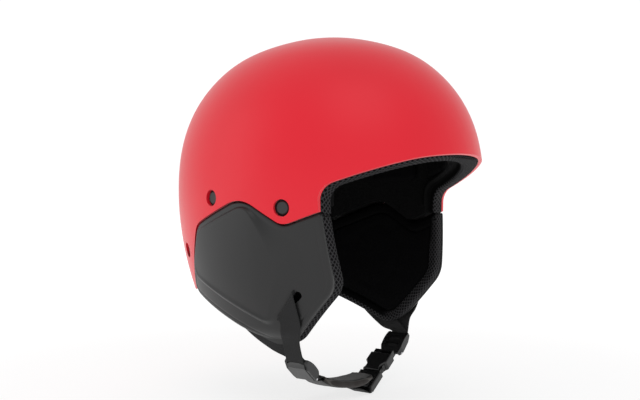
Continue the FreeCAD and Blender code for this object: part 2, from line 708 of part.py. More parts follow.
def buckle_web():
    """Short webbing from the left divider over the buckle's top bar and into its web slot."""
    over = SOCKET_HEIGHT / 2 - 1.3 + STRAP_GAP + WEB / 2
    points = divider_exit(1)
    points += [buckle_point(-1.4, over), buckle_point(1.2, over), buckle_point(3.2, over - 1.8), buckle_point(3.3, -1.0)]
    return route(points, BUCKLE_AT[1], WEB_WIDTH - 1, WEB, 16)


def clip_plate_y():
    """Rear face of the clip's base plate."""
    return REAR_LENGTH * fullness(CLIP_AT + CLIP_TALL / 2) + CLIP_PLATE


def clip_base(outer):
    """Goggle-strap clip base, shaped to the back of the shell, with a knuckle pair and a snap ledge."""
    face = clip_plate_y()
    half = CLIP_WIDTH / 2
    low = CLIP_AT - CLIP_TALL / 2
    high = CLIP_AT + CLIP_TALL / 2
    plate = block((-half, REAR_LENGTH * 0.9, low), (half, face, high)).cut(outer)
    ears = []
    for start in (-half + 2, half - 6):
        ears.append(block((start, face - 1, high - 8), (start + 4, face + CLIP_GAP + CLIP_ARM, high - 1)))
    ledge = block((-7, face - 1, low + 0.5), (7, face + 3.0, low + 3.0))
    bore = rod(V(-half, face + CLIP_GAP - 0.6, high - 4.5), V(1, 0, 0), CLIP_PIN_RADIUS, CLIP_WIDTH)
    base = plate
    for piece in ears + [ledge]:
        base = base.fuse(piece)
    return base.cut(bore)


def clip_arm():
    """Goggle-strap clip arm: hinged at the top, bowed over the strap, hooked under the ledge."""
    face = clip_plate_y()
    half = CLIP_WIDTH / 2 - 6 - SIDE_PLAY
    low = CLIP_AT - CLIP_TALL / 2
    high = CLIP_AT + CLIP_TALL / 2
    front = face + CLIP_GAP
    corners = [(front - 2.2, high - 2.3, 1.6), (front + CLIP_ARM, high - 2.3, 1.8), (front + CLIP_ARM, low - 3.0, 2.0)]
    corners += [(face + 0.6, low - 3.0), (face + 0.6, low + 0.1), (front, low + 0.1, 1.0), (front, high - 7.2, 1.5)]
    corners += [(front - 2.2, high - 6.6, 1.4)]
    arm = prism(rounded(corners), -half, half)
    bore = rod(V(-half - 1, front - 0.6, high - 4.5), V(1, 0, 0), CLIP_PIN_RADIUS + PIN_PLAY, 2 * half + 2)
    return arm.cut(bore)


def clip_pin():
    """Hinge pin of the goggle-strap clip."""
    start = V(-CLIP_WIDTH / 2 + 2.2, clip_plate_y() + CLIP_GAP - 0.6, CLIP_AT + CLIP_TALL / 2 - 4.5)
    return rod(start, V(1, 0, 0), CLIP_PIN_RADIUS, CLIP_WIDTH - 4.4)


def save(name, shape):
    """Write one piece as a STEP file."""
    shape.exportStep(os.path.join("parts", name + ".step"))


def save_pair(name, shape):
    """Write a piece of the wearer's right and its mirror image on the left."""
    save(name + "_right", shape)
    save(name + "_left", mirrored(shape))


def build_dome_pieces():
    """Shell, liner, edging, comfort pads and the anchors between them."""
    outer = dome(0)
    skin_inner = dome(SHELL)
    liner_outer = dome(LINER_FROM)
    liner_inner = dome(LINER_FROM + LINER)
    pad_outer = dome(LINER_FROM + LINER + 1.6)
    pad_inner = dome(LINER_FROM + LINER + 1.6 + COMFORT)
    save("outer_shell", make_shell(outer, skin_inner))
    save("anchor_screws", anchor_screws())
    save("anchor_nuts", anchor_nuts())
    save("eps_liner", make_liner(liner_outer, liner_inner))
    save("brow_edging", make_brow_edging(dome(SHELL + STRAP_GAP), dome(LINER_FROM + LINER + COMFORT)))
    crown, brow, nape, temple = comfort_pads(pad_outer.cut(pad_inner))
    save("crown_pad", crown)
    save("brow_pad", brow)
    save("nape_pad", nape)
    save_pair("temple_pad", temple)
    dots = pad_dots(dome(LINER_FROM + LINER + 0.1), dome(LINER_FROM + LINER + 1.4))
    save("pad_dots", dots)
    save("clip_base", clip_base(outer))
    return skin_inner


def build_ear_pads(skin_inner):
    """Ear pads of both sides, their hanger tongues and the straps inside them."""
    ear_zone = prism(ear_outline(), -REACH, -10)
    core_zone = prism(ear_outline().makeOffset2D(-EDGING_WIDTH), -REACH, -10)
    arch = above_arch(ARCH_GAP_Y, ARCH_GAP_Z)
    back = dome(SHELL + PAD_THICKNESS - FLEECE)
    band = dome(SHELL + 0.15).cut(dome(SHELL + PAD_THICKNESS))
    foam_layer = dome(LINER_FROM).cut(back)
    fleece_layer = dome(SHELL + PAD_THICKNESS - FLEECE + 0.2).cut(dome(SHELL + PAD_THICKNESS + 0.2))
    lane_layer = dome(SHELL + STRAP_GAP).cut(dome(SHELL + STRAP_GAP + WEB))
    flared = dome(COVER_RECESS, flared_fullness)
    save_pair("ear_cover", ear_cover(flared, skin_inner, ear_zone, arch))
    edging, foam, fleece = ear_layers(band, foam_layer, fleece_layer, ear_zone, core_zone, arch)
    save_pair("ear_edging", edging)
    save_pair("ear_foam", foam)
    save_pair("ear_fleece", fleece)
    save_pair("ear_tongue", ear_tongue(lane_layer))
    save_pair("strap_front", front_strap(lane_layer))
    save_pair("strap_rear", rear_strap(lane_layer))


def build_dividers():
    """Strap dividers: frame, lever and pin on both sides."""
    axes = divider_frame_axes()
    save_pair("divider_frame", placed(divider_frame(), DIVIDER_AT, axes))
    save_pair("divider_lever", placed(divider_lever(), DIVIDER_AT, axes))
    pin = placed(divider_pin(), DIVIDER_AT, axes)
    save("divider_pins", both_sides([pin]))


def build_buckle():
    """Side-release buckle, chin pad and chin webbing."""
    axes = buckle_axes()
    web, room, tail = chin_webs()
    save("buckle_socket", placed(buckle_socket(), BUCKLE_AT, axes))
    save("buckle_plug", placed(buckle_plug(), BUCKLE_AT, axes))
    save("latch_arm_front", placed(latch_arm(1), BUCKLE_AT, axes))
    save("latch_arm_rear", placed(latch_arm(-1), BUCKLE_AT, axes))
    save("buckle_web", buckle_web())
    save("chin_web", web)
    save("chin_web_tail", tail)
    save("chin_pad", chin_pad(room))


def build_clip():
    """Moving arm and pin of the goggle-strap clip."""
    save("clip_arm", clip_arm())
    save("clip_pin", clip_pin())


os.makedirs("parts", exist_ok=True)
build_ear_pads(build_dome_pieces())
build_dividers()
build_buckle()
build_clip()
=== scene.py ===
"""Dresses the ski helmet: materials, soft goods, webbing and studio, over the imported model."""
import logging
import math
from dataclasses import dataclass, field
from enum import Enum
from typing import Any, Callable, Dict, List, Optional, Sequence, Tuple

import bmesh
import bpy
import numpy as np
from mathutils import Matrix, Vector


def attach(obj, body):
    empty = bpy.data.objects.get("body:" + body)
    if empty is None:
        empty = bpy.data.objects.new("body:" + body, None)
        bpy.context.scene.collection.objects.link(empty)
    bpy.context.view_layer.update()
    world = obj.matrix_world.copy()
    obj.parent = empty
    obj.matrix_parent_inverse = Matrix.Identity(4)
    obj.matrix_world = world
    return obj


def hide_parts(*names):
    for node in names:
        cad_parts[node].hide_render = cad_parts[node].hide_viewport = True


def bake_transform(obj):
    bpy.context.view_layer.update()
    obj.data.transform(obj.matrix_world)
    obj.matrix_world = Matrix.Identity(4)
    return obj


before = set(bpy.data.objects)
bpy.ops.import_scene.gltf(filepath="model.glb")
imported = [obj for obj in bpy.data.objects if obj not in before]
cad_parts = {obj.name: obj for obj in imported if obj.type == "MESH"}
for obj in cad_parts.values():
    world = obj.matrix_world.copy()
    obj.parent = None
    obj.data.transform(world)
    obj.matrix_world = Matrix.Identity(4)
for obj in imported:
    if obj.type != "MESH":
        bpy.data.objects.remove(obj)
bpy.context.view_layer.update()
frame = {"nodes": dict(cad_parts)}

logging.basicConfig(level=logging.INFO, format="%(levelname)s %(message)s")
LOG = logging.getLogger("helmet")

MM = 0.001
Colour = Tuple[float, float, float]
Flat = Tuple[float, float]
Station = Tuple[np.ndarray, np.ndarray]


class Side(Enum):
    """Side of the wearer, with the sign of its X."""

    RIGHT = -1
    LEFT = 1

    @property
    def tag(self) -> str:
        """Lower-case name used in node names."""
        return self.name.lower()


# --------------------------------------------------------------------------
# Shader maths
# --------------------------------------------------------------------------


class Signal:
    """A node socket with arithmetic, so that shader maths reads as formulas."""

    def __init__(self, nodes: "Nodes", socket: Any) -> None:
        """Wrap a socket.

        Args:
            nodes: The tree the socket belongs to.
            socket: The node socket, or a plain number.
        """
        self.nodes = nodes
        self.socket = socket

    def _math(self, operation: str, other: Any = None, swap: bool = False) -> "Signal":
        """Apply a Math node.

        Args:
            operation: Math operation name.
            other: Second operand, or None for a one-operand function.
            swap: True to put the other operand first.

        Returns:
            The result socket.
        """
        values = [self] if other is None else ([other, self] if swap else [self, other])
        return self.nodes.node("ShaderNodeMath", {"operation": operation}, dict(enumerate(values)))

    def __add__(self, other: Any) -> "Signal":
        """Sum."""
        return self._math("ADD", other)

    def __radd__(self, other: Any) -> "Signal":
        """Sum with a number on the left."""
        return self._math("ADD", other, True)

    def __sub__(self, other: Any) -> "Signal":
        """Difference."""
        return self._math("SUBTRACT", other)

    def __rsub__(self, other: Any) -> "Signal":
        """Difference with a number on the left."""
        return self._math("SUBTRACT", other, True)

    def __mul__(self, other: Any) -> "Signal":
        """Product."""
        return self._math("MULTIPLY", other)

    def __rmul__(self, other: Any) -> "Signal":
        """Product with a number on the left."""
        return self._math("MULTIPLY", other, True)

    def __pow__(self, other: Any) -> "Signal":
        """Power."""
        return self._math("POWER", other)

    def sine(self) -> "Signal":
        """Sine of an angle in radians."""
        return self._math("SINE")

    def absolute(self) -> "Signal":
        """Magnitude."""
        return self._math("ABSOLUTE")

    def least(self, other: Any) -> "Signal":
        """Smaller of two values."""
        return self._math("MINIMUM", other)

    def most(self, other: Any) -> "Signal":
        """Larger of two values."""
        return self._math("MAXIMUM", other)

    def smooth(self, low: float, high: float) -> "Signal":
        """Smooth step from 0 at low to 1 at high."""
        settings = {"interpolation_type": "SMOOTHSTEP"}
        return self.nodes.node("ShaderNodeMapRange", settings, {0: self, 1: low, 2: high, 3: 0.0, 4: 1.0})


class Nodes:
    """A node tree under construction."""

    def __init__(self, tree: bpy.types.NodeTree) -> None:
        """Start from an empty tree.

        Args:
            tree: The node tree.
        """
        self.tree = tree
        self.tree.nodes.clear()

    def node(self, kind: str, settings: Dict[str, Any], inputs: Dict[Any, Any], output: Any = 0) -> Signal:
        """Add a node.

        Args:
            kind: Node type.
            settings: Node properties.
            inputs: Socket values, by index or name, as signals or constants.
            output: Output socket, by index or name.

        Returns:
            The chosen output as a signal, which is empty for a node without outputs.
        """
        made = self.tree.nodes.new(kind)
        for key, value in settings.items():
            setattr(made, key, value)
        for key, value in inputs.items():
            self.put(made.inputs[key], value)
        return Signal(self, made.outputs[output] if len(made.outputs) else None)

    def put(self, socket: Any, value: Any) -> None:
        """Link a signal to a socket, or set a constant on it.

        Args:
            socket: Input socket.
            value: A signal or a constant.
        """
        if isinstance(value, Signal):
            self.tree.links.new(value.socket, socket)
        else:
            socket.default_value = value


class Shader(Nodes):
    """A procedural material under construction."""

    def __init__(self, name: str) -> None:
        """Start an empty material.

        Args:
            name: Material name.
        """
        self.material = bpy.data.materials.new(name)
        self.material.use_nodes = True
        super().__init__(self.material.node_tree)
        surface = self.node("ShaderNodeBsdfPrincipled", {}, {})
        self.node("ShaderNodeOutputMaterial", {}, {0: surface})
        self.sockets = surface.socket.node.inputs

    def position(self) -> Signal:
        """Object position of the shaded point, in metres."""
        return self.node("ShaderNodeTexCoord", {}, {}, "Object")

    def split(self, vector: Signal) -> List[Signal]:
        """Components of a vector."""
        first = self.node("ShaderNodeSeparateXYZ", {}, {0: vector})
        return [Signal(self, output) for output in first.socket.node.outputs]

    def axes(self) -> List[Signal]:
        """Object position of the shaded point along each axis, in millimetres."""
        return [part * (1 / MM) for part in self.split(self.position())]

    def outward(self) -> Signal:
        """How much the surface faces away from the middle of the helmet.

        Returns:
            Position along the surface's normal, in metres.
        """
        normal = self.node("ShaderNodeTexCoord", {}, {}, "Normal")
        settings = {"operation": "DOT_PRODUCT"}
        return self.node("ShaderNodeVectorMath", settings, {0: normal, 1: self.position()}, "Value")

    def uv(self) -> List[Signal]:
        """Lengthwise and crosswise position on a piece, in millimetres."""
        return self.split(self.node("ShaderNodeTexCoord", {}, {}, "UV"))[:2]

    def scaled(self, vector: Signal, factor: Tuple[float, float, float]) -> Signal:
        """Vector times a vector."""
        return self.node("ShaderNodeVectorMath", {"operation": "MULTIPLY"}, {0: vector, 1: factor})

    def noise(self, scale: float, detail: float, rough: float = 0.55, at: Optional[Signal] = None) -> Signal:
        """Noise value at the shaded point.

        Args:
            scale: Noise frequency per metre.
            detail: Octaves.
            rough: Octave gain.
            at: Position, or None for the object position.

        Returns:
            Noise from 0 to 1.
        """
        where = at if at is not None else self.position()
        values = {"Vector": where, "Scale": scale, "Detail": detail, "Roughness": rough}
        return self.node("ShaderNodeTexNoise", {}, values, "Fac")

    def cells(self, scale: float, feature: str = "F1") -> Signal:
        """Distance in a cell pattern.

        Args:
            scale: Cells per metre.
            feature: Which distance.

        Returns:
            The distance.
        """
        values = {"Vector": self.position(), "Scale": scale}
        return self.node("ShaderNodeTexVoronoi", {"feature": feature}, values, "Distance")

    def blend(self, factor: Any, low: Any, high: Any) -> Signal:
        """Mix two colours.

        Args:
            factor: Mix factor signal or number.
            low: Colour at 0.
            high: Colour at 1.

        Returns:
            The mixed colour.
        """
        ends = [end if isinstance(end, Signal) else (*end, 1.0) for end in (low, high)]
        return self.node("ShaderNodeMix", {"data_type": "RGBA"}, {0: factor, 6: ends[0], 7: ends[1]}, 2)

    def bump(self, height: Signal, depth_mm: float) -> Signal:
        """Normal from a height signal.

        Args:
            height: Height from 0 to 1.
            depth_mm: Real height of 1, in millimetres.

        Returns:
            The normal.
        """
        return self.node("ShaderNodeBump", {}, {"Strength": 1.0, "Distance": depth_mm * MM, "Height": height})

    def finish(self, **values: Any) -> bpy.types.Material:
        """Set the surface's sockets, named with underscores for spaces.

        Args:
            values: Signals or constants by socket name.

        Returns:
            The material.
        """
        for key, value in values.items():
            socket = self.sockets[key.replace("_", " ")]
            if isinstance(value, tuple) and len(value) == 3 and socket.type == "RGBA":
                value = (*value, 1.0)
            self.put(socket, value)
        return self.material


# --------------------------------------------------------------------------
# Finishes
# --------------------------------------------------------------------------


def shade(colour: Colour, share: float) -> Colour:
    """A colour made darker or lighter."""
    return tuple(part * share for part in colour)


@dataclass(frozen=True)
class Paint:
    """Satin shell paint with a faint orange peel, and painted shade on the shell's inside faces."""

    colour: Colour = (0.79, 0.0055, 0.0215)
    # inside: near-black painted shade for the shell's inside faces
    inside: Colour = (0.003, 0.003, 0.003)
    rough: float = 0.42
    peel_mm: float = 0.012
    peel_grain: float = 420.0
    flake_grain: float = 900.0
    drift_grain: float = 14.0
    specular: float = 0.36
    coat: float = 0.06
    sheen: float = 0.34
    soft_rough: float = 0.35
    sheen_tint: Colour = (1.0, 0.8, 0.8)

    def material(self) -> bpy.types.Material:
        """Build the material.

        Returns:
            The material.
        """
        s = Shader("shell_paint")
        flake = s.noise(self.flake_grain, 2)
        drift = s.noise(self.drift_grain, 2)
        tone = shade(self.colour, 0.93)
        face = s.blend(drift, tone, self.colour)
        return s.finish(
            # faces turned towards the middle of the helmet get the inside colour: painted shade
            Base_Color=s.blend(s.outward().smooth(-0.06, -0.03), self.inside, face),
            Roughness=self.rough + (flake - 0.5) * 0.06,
            Normal=s.bump(s.noise(self.peel_grain, 2), self.peel_mm),
            Specular_IOR_Level=self.specular,
            Coat_Weight=self.coat,
            Coat_Roughness=self.soft_rough,
            Sheen_Weight=self.sheen,
            Sheen_Roughness=self.soft_rough,
            Sheen_Tint=self.sheen_tint,
        )


@dataclass(frozen=True)
class Moulded:
    """Moulded plastic with a fine spark-eroded grain."""

    name: str = "moulded_black"
    colour: Colour = (0.005, 0.005, 0.0053)
    rough: float = 0.40
    grain_mm: float = 0.02
    grain: float = 2600.0
    wear_grain: float = 60.0
    specular: float = 0.5

    def material(self) -> bpy.types.Material:
        """Build the material.

        Returns:
            The material.
        """
        s = Shader(self.name)
        spark = s.cells(self.grain)
        worn = s.noise(self.wear_grain, 3)
        tone = shade(self.colour, 1.5)
        return s.finish(
            Base_Color=s.blend(worn.smooth(0.35, 0.75), self.colour, tone),
            Roughness=self.rough + (worn - 0.5) * 0.16,
            Normal=s.bump(spark, self.grain_mm),
            Specular_IOR_Level=self.specular,
        )


@dataclass(frozen=True)
class SoftTouch:
    """Smooth rubbery cover fabric of the ear pads."""

    colour: Colour = (0.0145, 0.0145, 0.0148)
    rough: float = 0.38
    grain: float = 3200.0
    pore_grain: float = 1500.0
    cloud_grain: float = 22.0
    grain_mm: float = 0.03
    specular: float = 0.4

    def material(self) -> bpy.types.Material:
        """Build the material.

        Returns:
            The material.
        """
        s = Shader("cover_soft_touch")
        fine = s.noise(self.grain, 2)
        pores = s.cells(self.pore_grain)
        cloud = s.noise(self.cloud_grain, 3)
        tone = shade(self.colour, 0.8)
        return s.finish(
            Base_Color=s.blend(cloud, tone, self.colour),
            Roughness=self.rough + (cloud - 0.5) * 0.1,
            Normal=s.bump(fine * 0.5 + pores * 0.5, self.grain_mm),
            Specular_IOR_Level=self.specular,
        )


def brow_inner_shade(_: Shader, girth: Signal) -> Signal:
    """Share of near-black painted shade on the brow edging, from where it turns inwards."""
    return girth.smooth(12.7, 13.5)


def ear_lining(shader: Shader, girth: Signal) -> Signal:
    """Share of near-black painted shade on the ear edging: along its top, and on its inner face at the rear.

    Args:
        shader: The material.
        girth: Position round the edging, in millimetres.

    Returns:
        Share from 0 to 1.
    """
    _, y, z = shader.axes()
    top = y.smooth(-60.0, -56.0) * z.smooth(-50.0, -46.0)
    rear = y.smooth(-22.0, -10.0) * girth.smooth(14.4, 15.2)
    return top.most(rear)


@dataclass(frozen=True)
class Mesh:
    """Open knitted spacer mesh with diamond cells: painted highlight on the yarn, painted shade in the holes,
    and near-black painted shade where the edging turns inwards.
    """

    name: str
    # mask of the near-black painted shade on the inward-turned edging
    lining: Callable[[Shader, Signal], Signal]
    colour: Colour = (0.016, 0.0157, 0.0166)
    # near-black painted shade where the edging turns into the helmet
    inner_shade: Colour = (0.0015, 0.0015, 0.0016)
    along_mm: float = 4.2
    across_mm: float = 3.6
    knit_mm: float = 0.6
    yarn_grain: float = 5000.0
    specular: float = 0.05

    def material(self) -> bpy.types.Material:
        """Build the material.

        Returns:
            The material.
        """
        s = Shader(self.name)
        u, v = s.uv()
        along, across = u * (1 / self.along_mm), v * (1 / self.across_mm)
        rising = ((along + across) * math.pi).sine().absolute()
        falling = ((along - across) * math.pi).sine().absolute()
        wave = rising.least(falling)
        hole = wave.smooth(0.36, 0.68)
        yarn = s.noise(self.yarn_grain, 2)
        # painted highlight on the yarn and painted shade in the holes: brighter and darker copies of the yarn
        # colour
        painted_highlight = shade(self.colour, 2.4)
        dark = shade(self.colour, 0.15)
        # painted shade: the inward-turned edging is coloured near-black instead of showing the knit
        inner_shade_share = self.lining(s, v)
        return s.finish(
            Base_Color=s.blend(inner_shade_share, s.blend(hole, painted_highlight, dark), self.inner_shade),
            Roughness=0.66 + yarn * 0.2,
            Normal=s.bump(((1.0 - hole) * 0.85 + yarn * 0.15) * (1.0 - inner_shade_share), self.knit_mm),
            Specular_IOR_Level=self.specular,
        )


@dataclass(frozen=True)
class Fleece:
    """Brushed lining fabric, with painted highlight on its raised nap."""

    colour: Colour = (0.0022, 0.0022, 0.0024)
    fuzz_mm: float = 0.35
    nap_grain: float = 1700.0
    tuft_grain: float = 900.0
    specular: float = 0.05

    def material(self) -> bpy.types.Material:
        """Build the material.

        Returns:
            The material.
        """
        s = Shader("lining_fleece")
        nap = s.noise(self.nap_grain, 4, 0.7)
        tuft = s.cells(self.tuft_grain)
        # painted highlight: the nap is brighter where its bump is highest
        painted_highlight = shade(self.colour, 1.8)
        return s.finish(
            Base_Color=s.blend(nap, self.colour, painted_highlight),
            Roughness=0.85 + nap * 0.1,
            Normal=s.bump(nap * 0.6 + tuft * 0.4, self.fuzz_mm),
            Specular_IOR_Level=self.specular,
        )


@dataclass(frozen=True)
class Bound:
    """Brushed sleeve fabric with a darker sewn binding along both edges, and painted highlight on its raised
    nap.
    """

    colour: Colour = (0.075, 0.074, 0.073)
    binding: Colour = (0.024, 0.020, 0.018)
    thread: Colour = (0.07, 0.065, 0.06)
    seam: Colour = (0.002, 0.002, 0.002)
    edge_mm: float = 9.4
    seam_mm: float = 0.2
    stitch_mm: float = 1.9
    nap_grain: float = 1700.0
    nap_mm: float = 0.12
    specular: float = 0.08
    sheen: float = 0.1
    sheen_rough: float = 0.6

    def material(self) -> bpy.types.Material:
        """Build the material.

        Returns:
            The material.
        """
        s = Shader("chin_fabric")
        _, v = s.uv()
        side = v.absolute()
        bound = side.smooth(self.edge_mm - 0.3, self.edge_mm + 0.3)
        seam = (side - (self.edge_mm + self.seam_mm)).absolute().smooth(0.35, 0.75)
        line = (side - (self.edge_mm + self.stitch_mm)).absolute().smooth(0.2, 0.55)
        nap = s.noise(self.nap_grain, 4, 0.7)
        # painted highlight: the nap is brighter where its bump is highest
        painted_highlight = shade(self.colour, 1.3)
        body = s.blend(nap, self.colour, painted_highlight)
        hem = s.blend(line, self.thread, self.binding)
        return s.finish(
            Base_Color=s.blend(seam, self.seam, s.blend(bound, body, hem)),
            Roughness=0.82 + nap * 0.1,
            Normal=s.bump(nap * (1.0 - bound * 0.6), self.nap_mm),
            Specular_IOR_Level=self.specular,
            Sheen_Weight=self.sheen,
            Sheen_Roughness=self.sheen_rough,
        )


@dataclass(frozen=True)
class Webbing:
    """Woven webbing: ribs across, a herringbone in the ribs, thicker selvedges, and painted light and shade
    following the weave.
    """

    colour: Colour = (0.013, 0.013, 0.0133)
    rib_mm: float = 1.1
    skew_mm: float = 2.4
    strand_mm: float = 0.8
    weave_mm: float = 0.22
    yarn_grain: float = 4200.0
    specular: float = 0.25

    def material(self) -> bpy.types.Material:
        """Build the material.

        Returns:
            The material.
        """
        s = Shader("woven_webbing")
        u, v = s.uv()
        skew = (v * (math.pi / self.skew_mm)).sine().absolute() * 0.5
        rib = ((u * (1 / self.rib_mm) + skew) * math.pi).sine().absolute()
        strand = (v * (math.pi / self.strand_mm)).sine().absolute()
        weave = rib * 0.65 + strand * 0.35
        yarn = s.noise(self.yarn_grain, 2)
        # painted highlight on the raised weave and painted shade in its grooves
        painted_highlight = shade(self.colour, 1.7)
        dark = shade(self.colour, 0.5)
        relief = weave * 0.8 + yarn * 0.2
        return s.finish(
            Base_Color=s.blend(relief, dark, painted_highlight),
            Roughness=0.68 + yarn * 0.15,
            Normal=s.bump(relief, self.weave_mm),
            Specular_IOR_Level=self.specular,
        )


@dataclass(frozen=True)
class BeadFoam:
    """Moulded bead foam of the liner, with painted shade in the crevices between the beads."""

    colour: Colour = (0.004, 0.004, 0.0042)
    beads: float = 330.0
    bead_mm: float = 0.12
    specular: float = 0.12

    def material(self) -> bpy.types.Material:
        """Build the material.

        Returns:
            The material.
        """
        s = Shader("bead_foam")
        bead = s.cells(self.beads)
        # painted shade: darker towards the bead edges, where the bump sinks between beads
        edge = s.cells(self.beads, "DISTANCE_TO_EDGE").smooth(0.0, 0.12)
        dark = shade(self.colour, 0.4)
        return s.finish(
            Base_Color=s.blend(edge, dark, self.colour),
            Roughness=0.7 + bead * 0.15,
            Normal=s.bump(edge, self.bead_mm),
            Specular_IOR_Level=self.specular,
        )


@dataclass(frozen=True)
class Steel:
    """Plated steel."""

    dark: Colour = (0.42, 0.42, 0.43)
    light: Colour = (0.58, 0.58, 0.6)
    brush_grain: float = 1800.0
    brush_mm: float = 0.01

    def material(self) -> bpy.types.Material:
        """Build the material.

        Returns:
            The material.
        """
        s = Shader("plated_steel")
        brushed = s.noise(self.brush_grain, 2, 0.6, s.scaled(s.position(), (1.0, 0.08, 1.0)))
        return s.finish(
            Base_Color=s.blend(brushed, self.dark, self.light),
            Roughness=0.28 + brushed * 0.2,
            Metallic=1.0,
            Normal=s.bump(brushed, self.brush_mm),
        )


# --------------------------------------------------------------------------
# Form: the dome and outlines drawn on its side
# --------------------------------------------------------------------------


@dataclass(frozen=True)
class Dome:
    """The helmet's dome of two half ellipses, in millimetres."""

    half_width: float = 111.7
    front: float = 135.8
    rear: float = 140.2
    crown: float = 125.8
    power: float = 2.266
    tuck: float = 0.139
    tuck_depth: float = 94.96
    flare: float = 0.00018
    foot_start: float = 108.0
    foot_radius: float = 13.0

    def fullness(self, z: np.ndarray, flared: bool = False) -> np.ndarray:
        """Radius share at height z.

        Args:
            z: Heights.
            flared: True for the ear pads' bulged outer face.

        Returns:
            Shares of the widest radius.
        """
        z = np.asarray(z, float)
        above = np.clip(1 - (np.clip(z, 0, None) / self.crown) ** self.power, 0, None) ** (1 / self.power)
        share = np.where(z >= 0, above, 1 - self.tuck * (z / self.tuck_depth) ** 2)
        if not flared:
            return share
        below = np.clip(-z - self.foot_start, 0, self.foot_radius)
        drop = self.foot_radius - np.sqrt(self.foot_radius**2 - below**2)
        return share - self.flare * z - drop / self.half_width

    def side_x(self, y: np.ndarray, z: np.ndarray, inset: np.ndarray, flared: bool = False) -> np.ndarray:
        """Distance from the middle plane to a layer at (y, z).

        Args:
            y: Positions along the helmet.
            z: Heights.
            inset: Depth under the outer face.
            flared: True for the ear pads' bulged outer face.

        Returns:
            Distances along X.
        """
        y = np.asarray(y, float)
        radius = self.half_width * self.fullness(z, flared) - inset
        half = np.where(y < 0, self.front, self.rear)
        length = radius * (half - inset) / (self.half_width - inset)
        return radius * np.sqrt(np.clip(1 - (y / length) ** 2, 0, None))

    def around(self, turn: np.ndarray, z: np.ndarray, inset: np.ndarray) -> np.ndarray:
        """Points of a layer by turn from the front and height.

        Args:
            turn: Angle from the front, positive to the wearer's left, radians.
            z: Heights.
            inset: Depth under the outer face.

        Returns:
            Points, last axis X, Y, Z.
        """
        turn, z, inset = np.broadcast_arrays(*(np.asarray(part, float) for part in (turn, z, inset)))
        high = np.clip(z / (self.crown - inset) * self.crown, None, self.crown * 0.999)
        radius = np.where(
            z >= 0,
            (self.half_width - inset) * self.fullness(high),
            self.half_width * self.fullness(z) - inset,
        )
        half = np.where(np.cos(turn) > 0, self.front, self.rear)
        length = radius * (half - inset) / (self.half_width - inset)
        return np.stack([radius * np.sin(turn), -length * np.cos(turn), z], -1)

    def height(self, x: np.ndarray, y: np.ndarray, inset: float) -> np.ndarray:
        """Height of a layer above (x, y).

        Args:
            x: Positions across.
            y: Positions along.
            inset: Depth under the outer face.

        Returns:
            Heights.
        """
        half = np.where(y < 0, self.front, self.rear) - inset
        share = np.sqrt((x / (self.half_width - inset)) ** 2 + (y / half) ** 2)
        return (self.crown - inset) * np.clip(1 - share**self.power, 0, None) ** (1 / self.power)


DOME = Dome()


def rounded(corners: Sequence[Tuple[float, ...]], step: float = 1.2) -> np.ndarray:
    """Closed outline through rounded corners, sampled evenly.

    Args:
        corners: (y, z, radius) corners in order.
        step: Spacing of the samples.

    Returns:
        Points (n, 2).
    """
    points = [np.array(c[:2], float) for c in corners]
    path: List[np.ndarray] = []
    for i, corner in enumerate(corners):
        here = points[i]
        back = points[i - 1] - here
        ahead = points[(i + 1) % len(points)] - here
        back, ahead = back / np.linalg.norm(back), ahead / np.linalg.norm(ahead)
        half = math.acos(float(np.clip(back @ ahead, -1, 1))) / 2
        reach = corner[2] / math.tan(half)
        centre = here + (back + ahead) / np.linalg.norm(back + ahead) * corner[2] / math.sin(half)
        first, last = here + back * reach - centre, here + ahead * reach - centre
        sweep = math.atan2(first[0] * last[1] - first[1] * last[0], float(first @ last))
        for k in range(13):
            angle = sweep * k / 12
            turn = np.array([[math.cos(angle), -math.sin(angle)], [math.sin(angle), math.cos(angle)]])
            path.append(centre + turn @ first)
    return evened(np.array(path), step, True)


def travelled(path: np.ndarray) -> np.ndarray:
    """Distance run along a path at each of its points."""
    return np.concatenate([[0], np.cumsum(np.linalg.norm(np.diff(path, axis=0), axis=1))])


def resampled(path: np.ndarray, run: np.ndarray, marks: np.ndarray) -> np.ndarray:
    """Points of a path where its run reaches each mark."""
    return np.stack([np.interp(marks, run, path[:, k]) for k in range(path.shape[1])], -1)


def evened(path: np.ndarray, step: float, closed: bool) -> np.ndarray:
    """Resample a path at even spacing.

    Args:
        path: Points (n, k).
        step: Wanted spacing.
        closed: True to close the path.

    Returns:
        Resampled points.
    """
    if closed:
        path = np.vstack([path, path[:1]])
    run = travelled(path)
    count = max(4, int(round(run[-1] / step)))
    marks = np.linspace(0, run[-1], count + (0 if closed else 1), endpoint=not closed)
    return resampled(path, run, marks)


def inward(outline: np.ndarray) -> np.ndarray:
    """Unit normals of a closed outline, pointing inwards.

    Args:
        outline: Points (n, 2).

    Returns:
        Normals (n, 2).
    """
    run = np.roll(outline, -1, 0) - np.roll(outline, 1, 0)
    run /= np.linalg.norm(run, axis=1, keepdims=True)
    normal = np.stack([-run[:, 1], run[:, 0]], -1)
    area = np.sum(outline[:, 0] * np.roll(outline[:, 1], -1) - outline[:, 1] * np.roll(outline[:, 0], -1))
    return normal if area > 0 else -normal


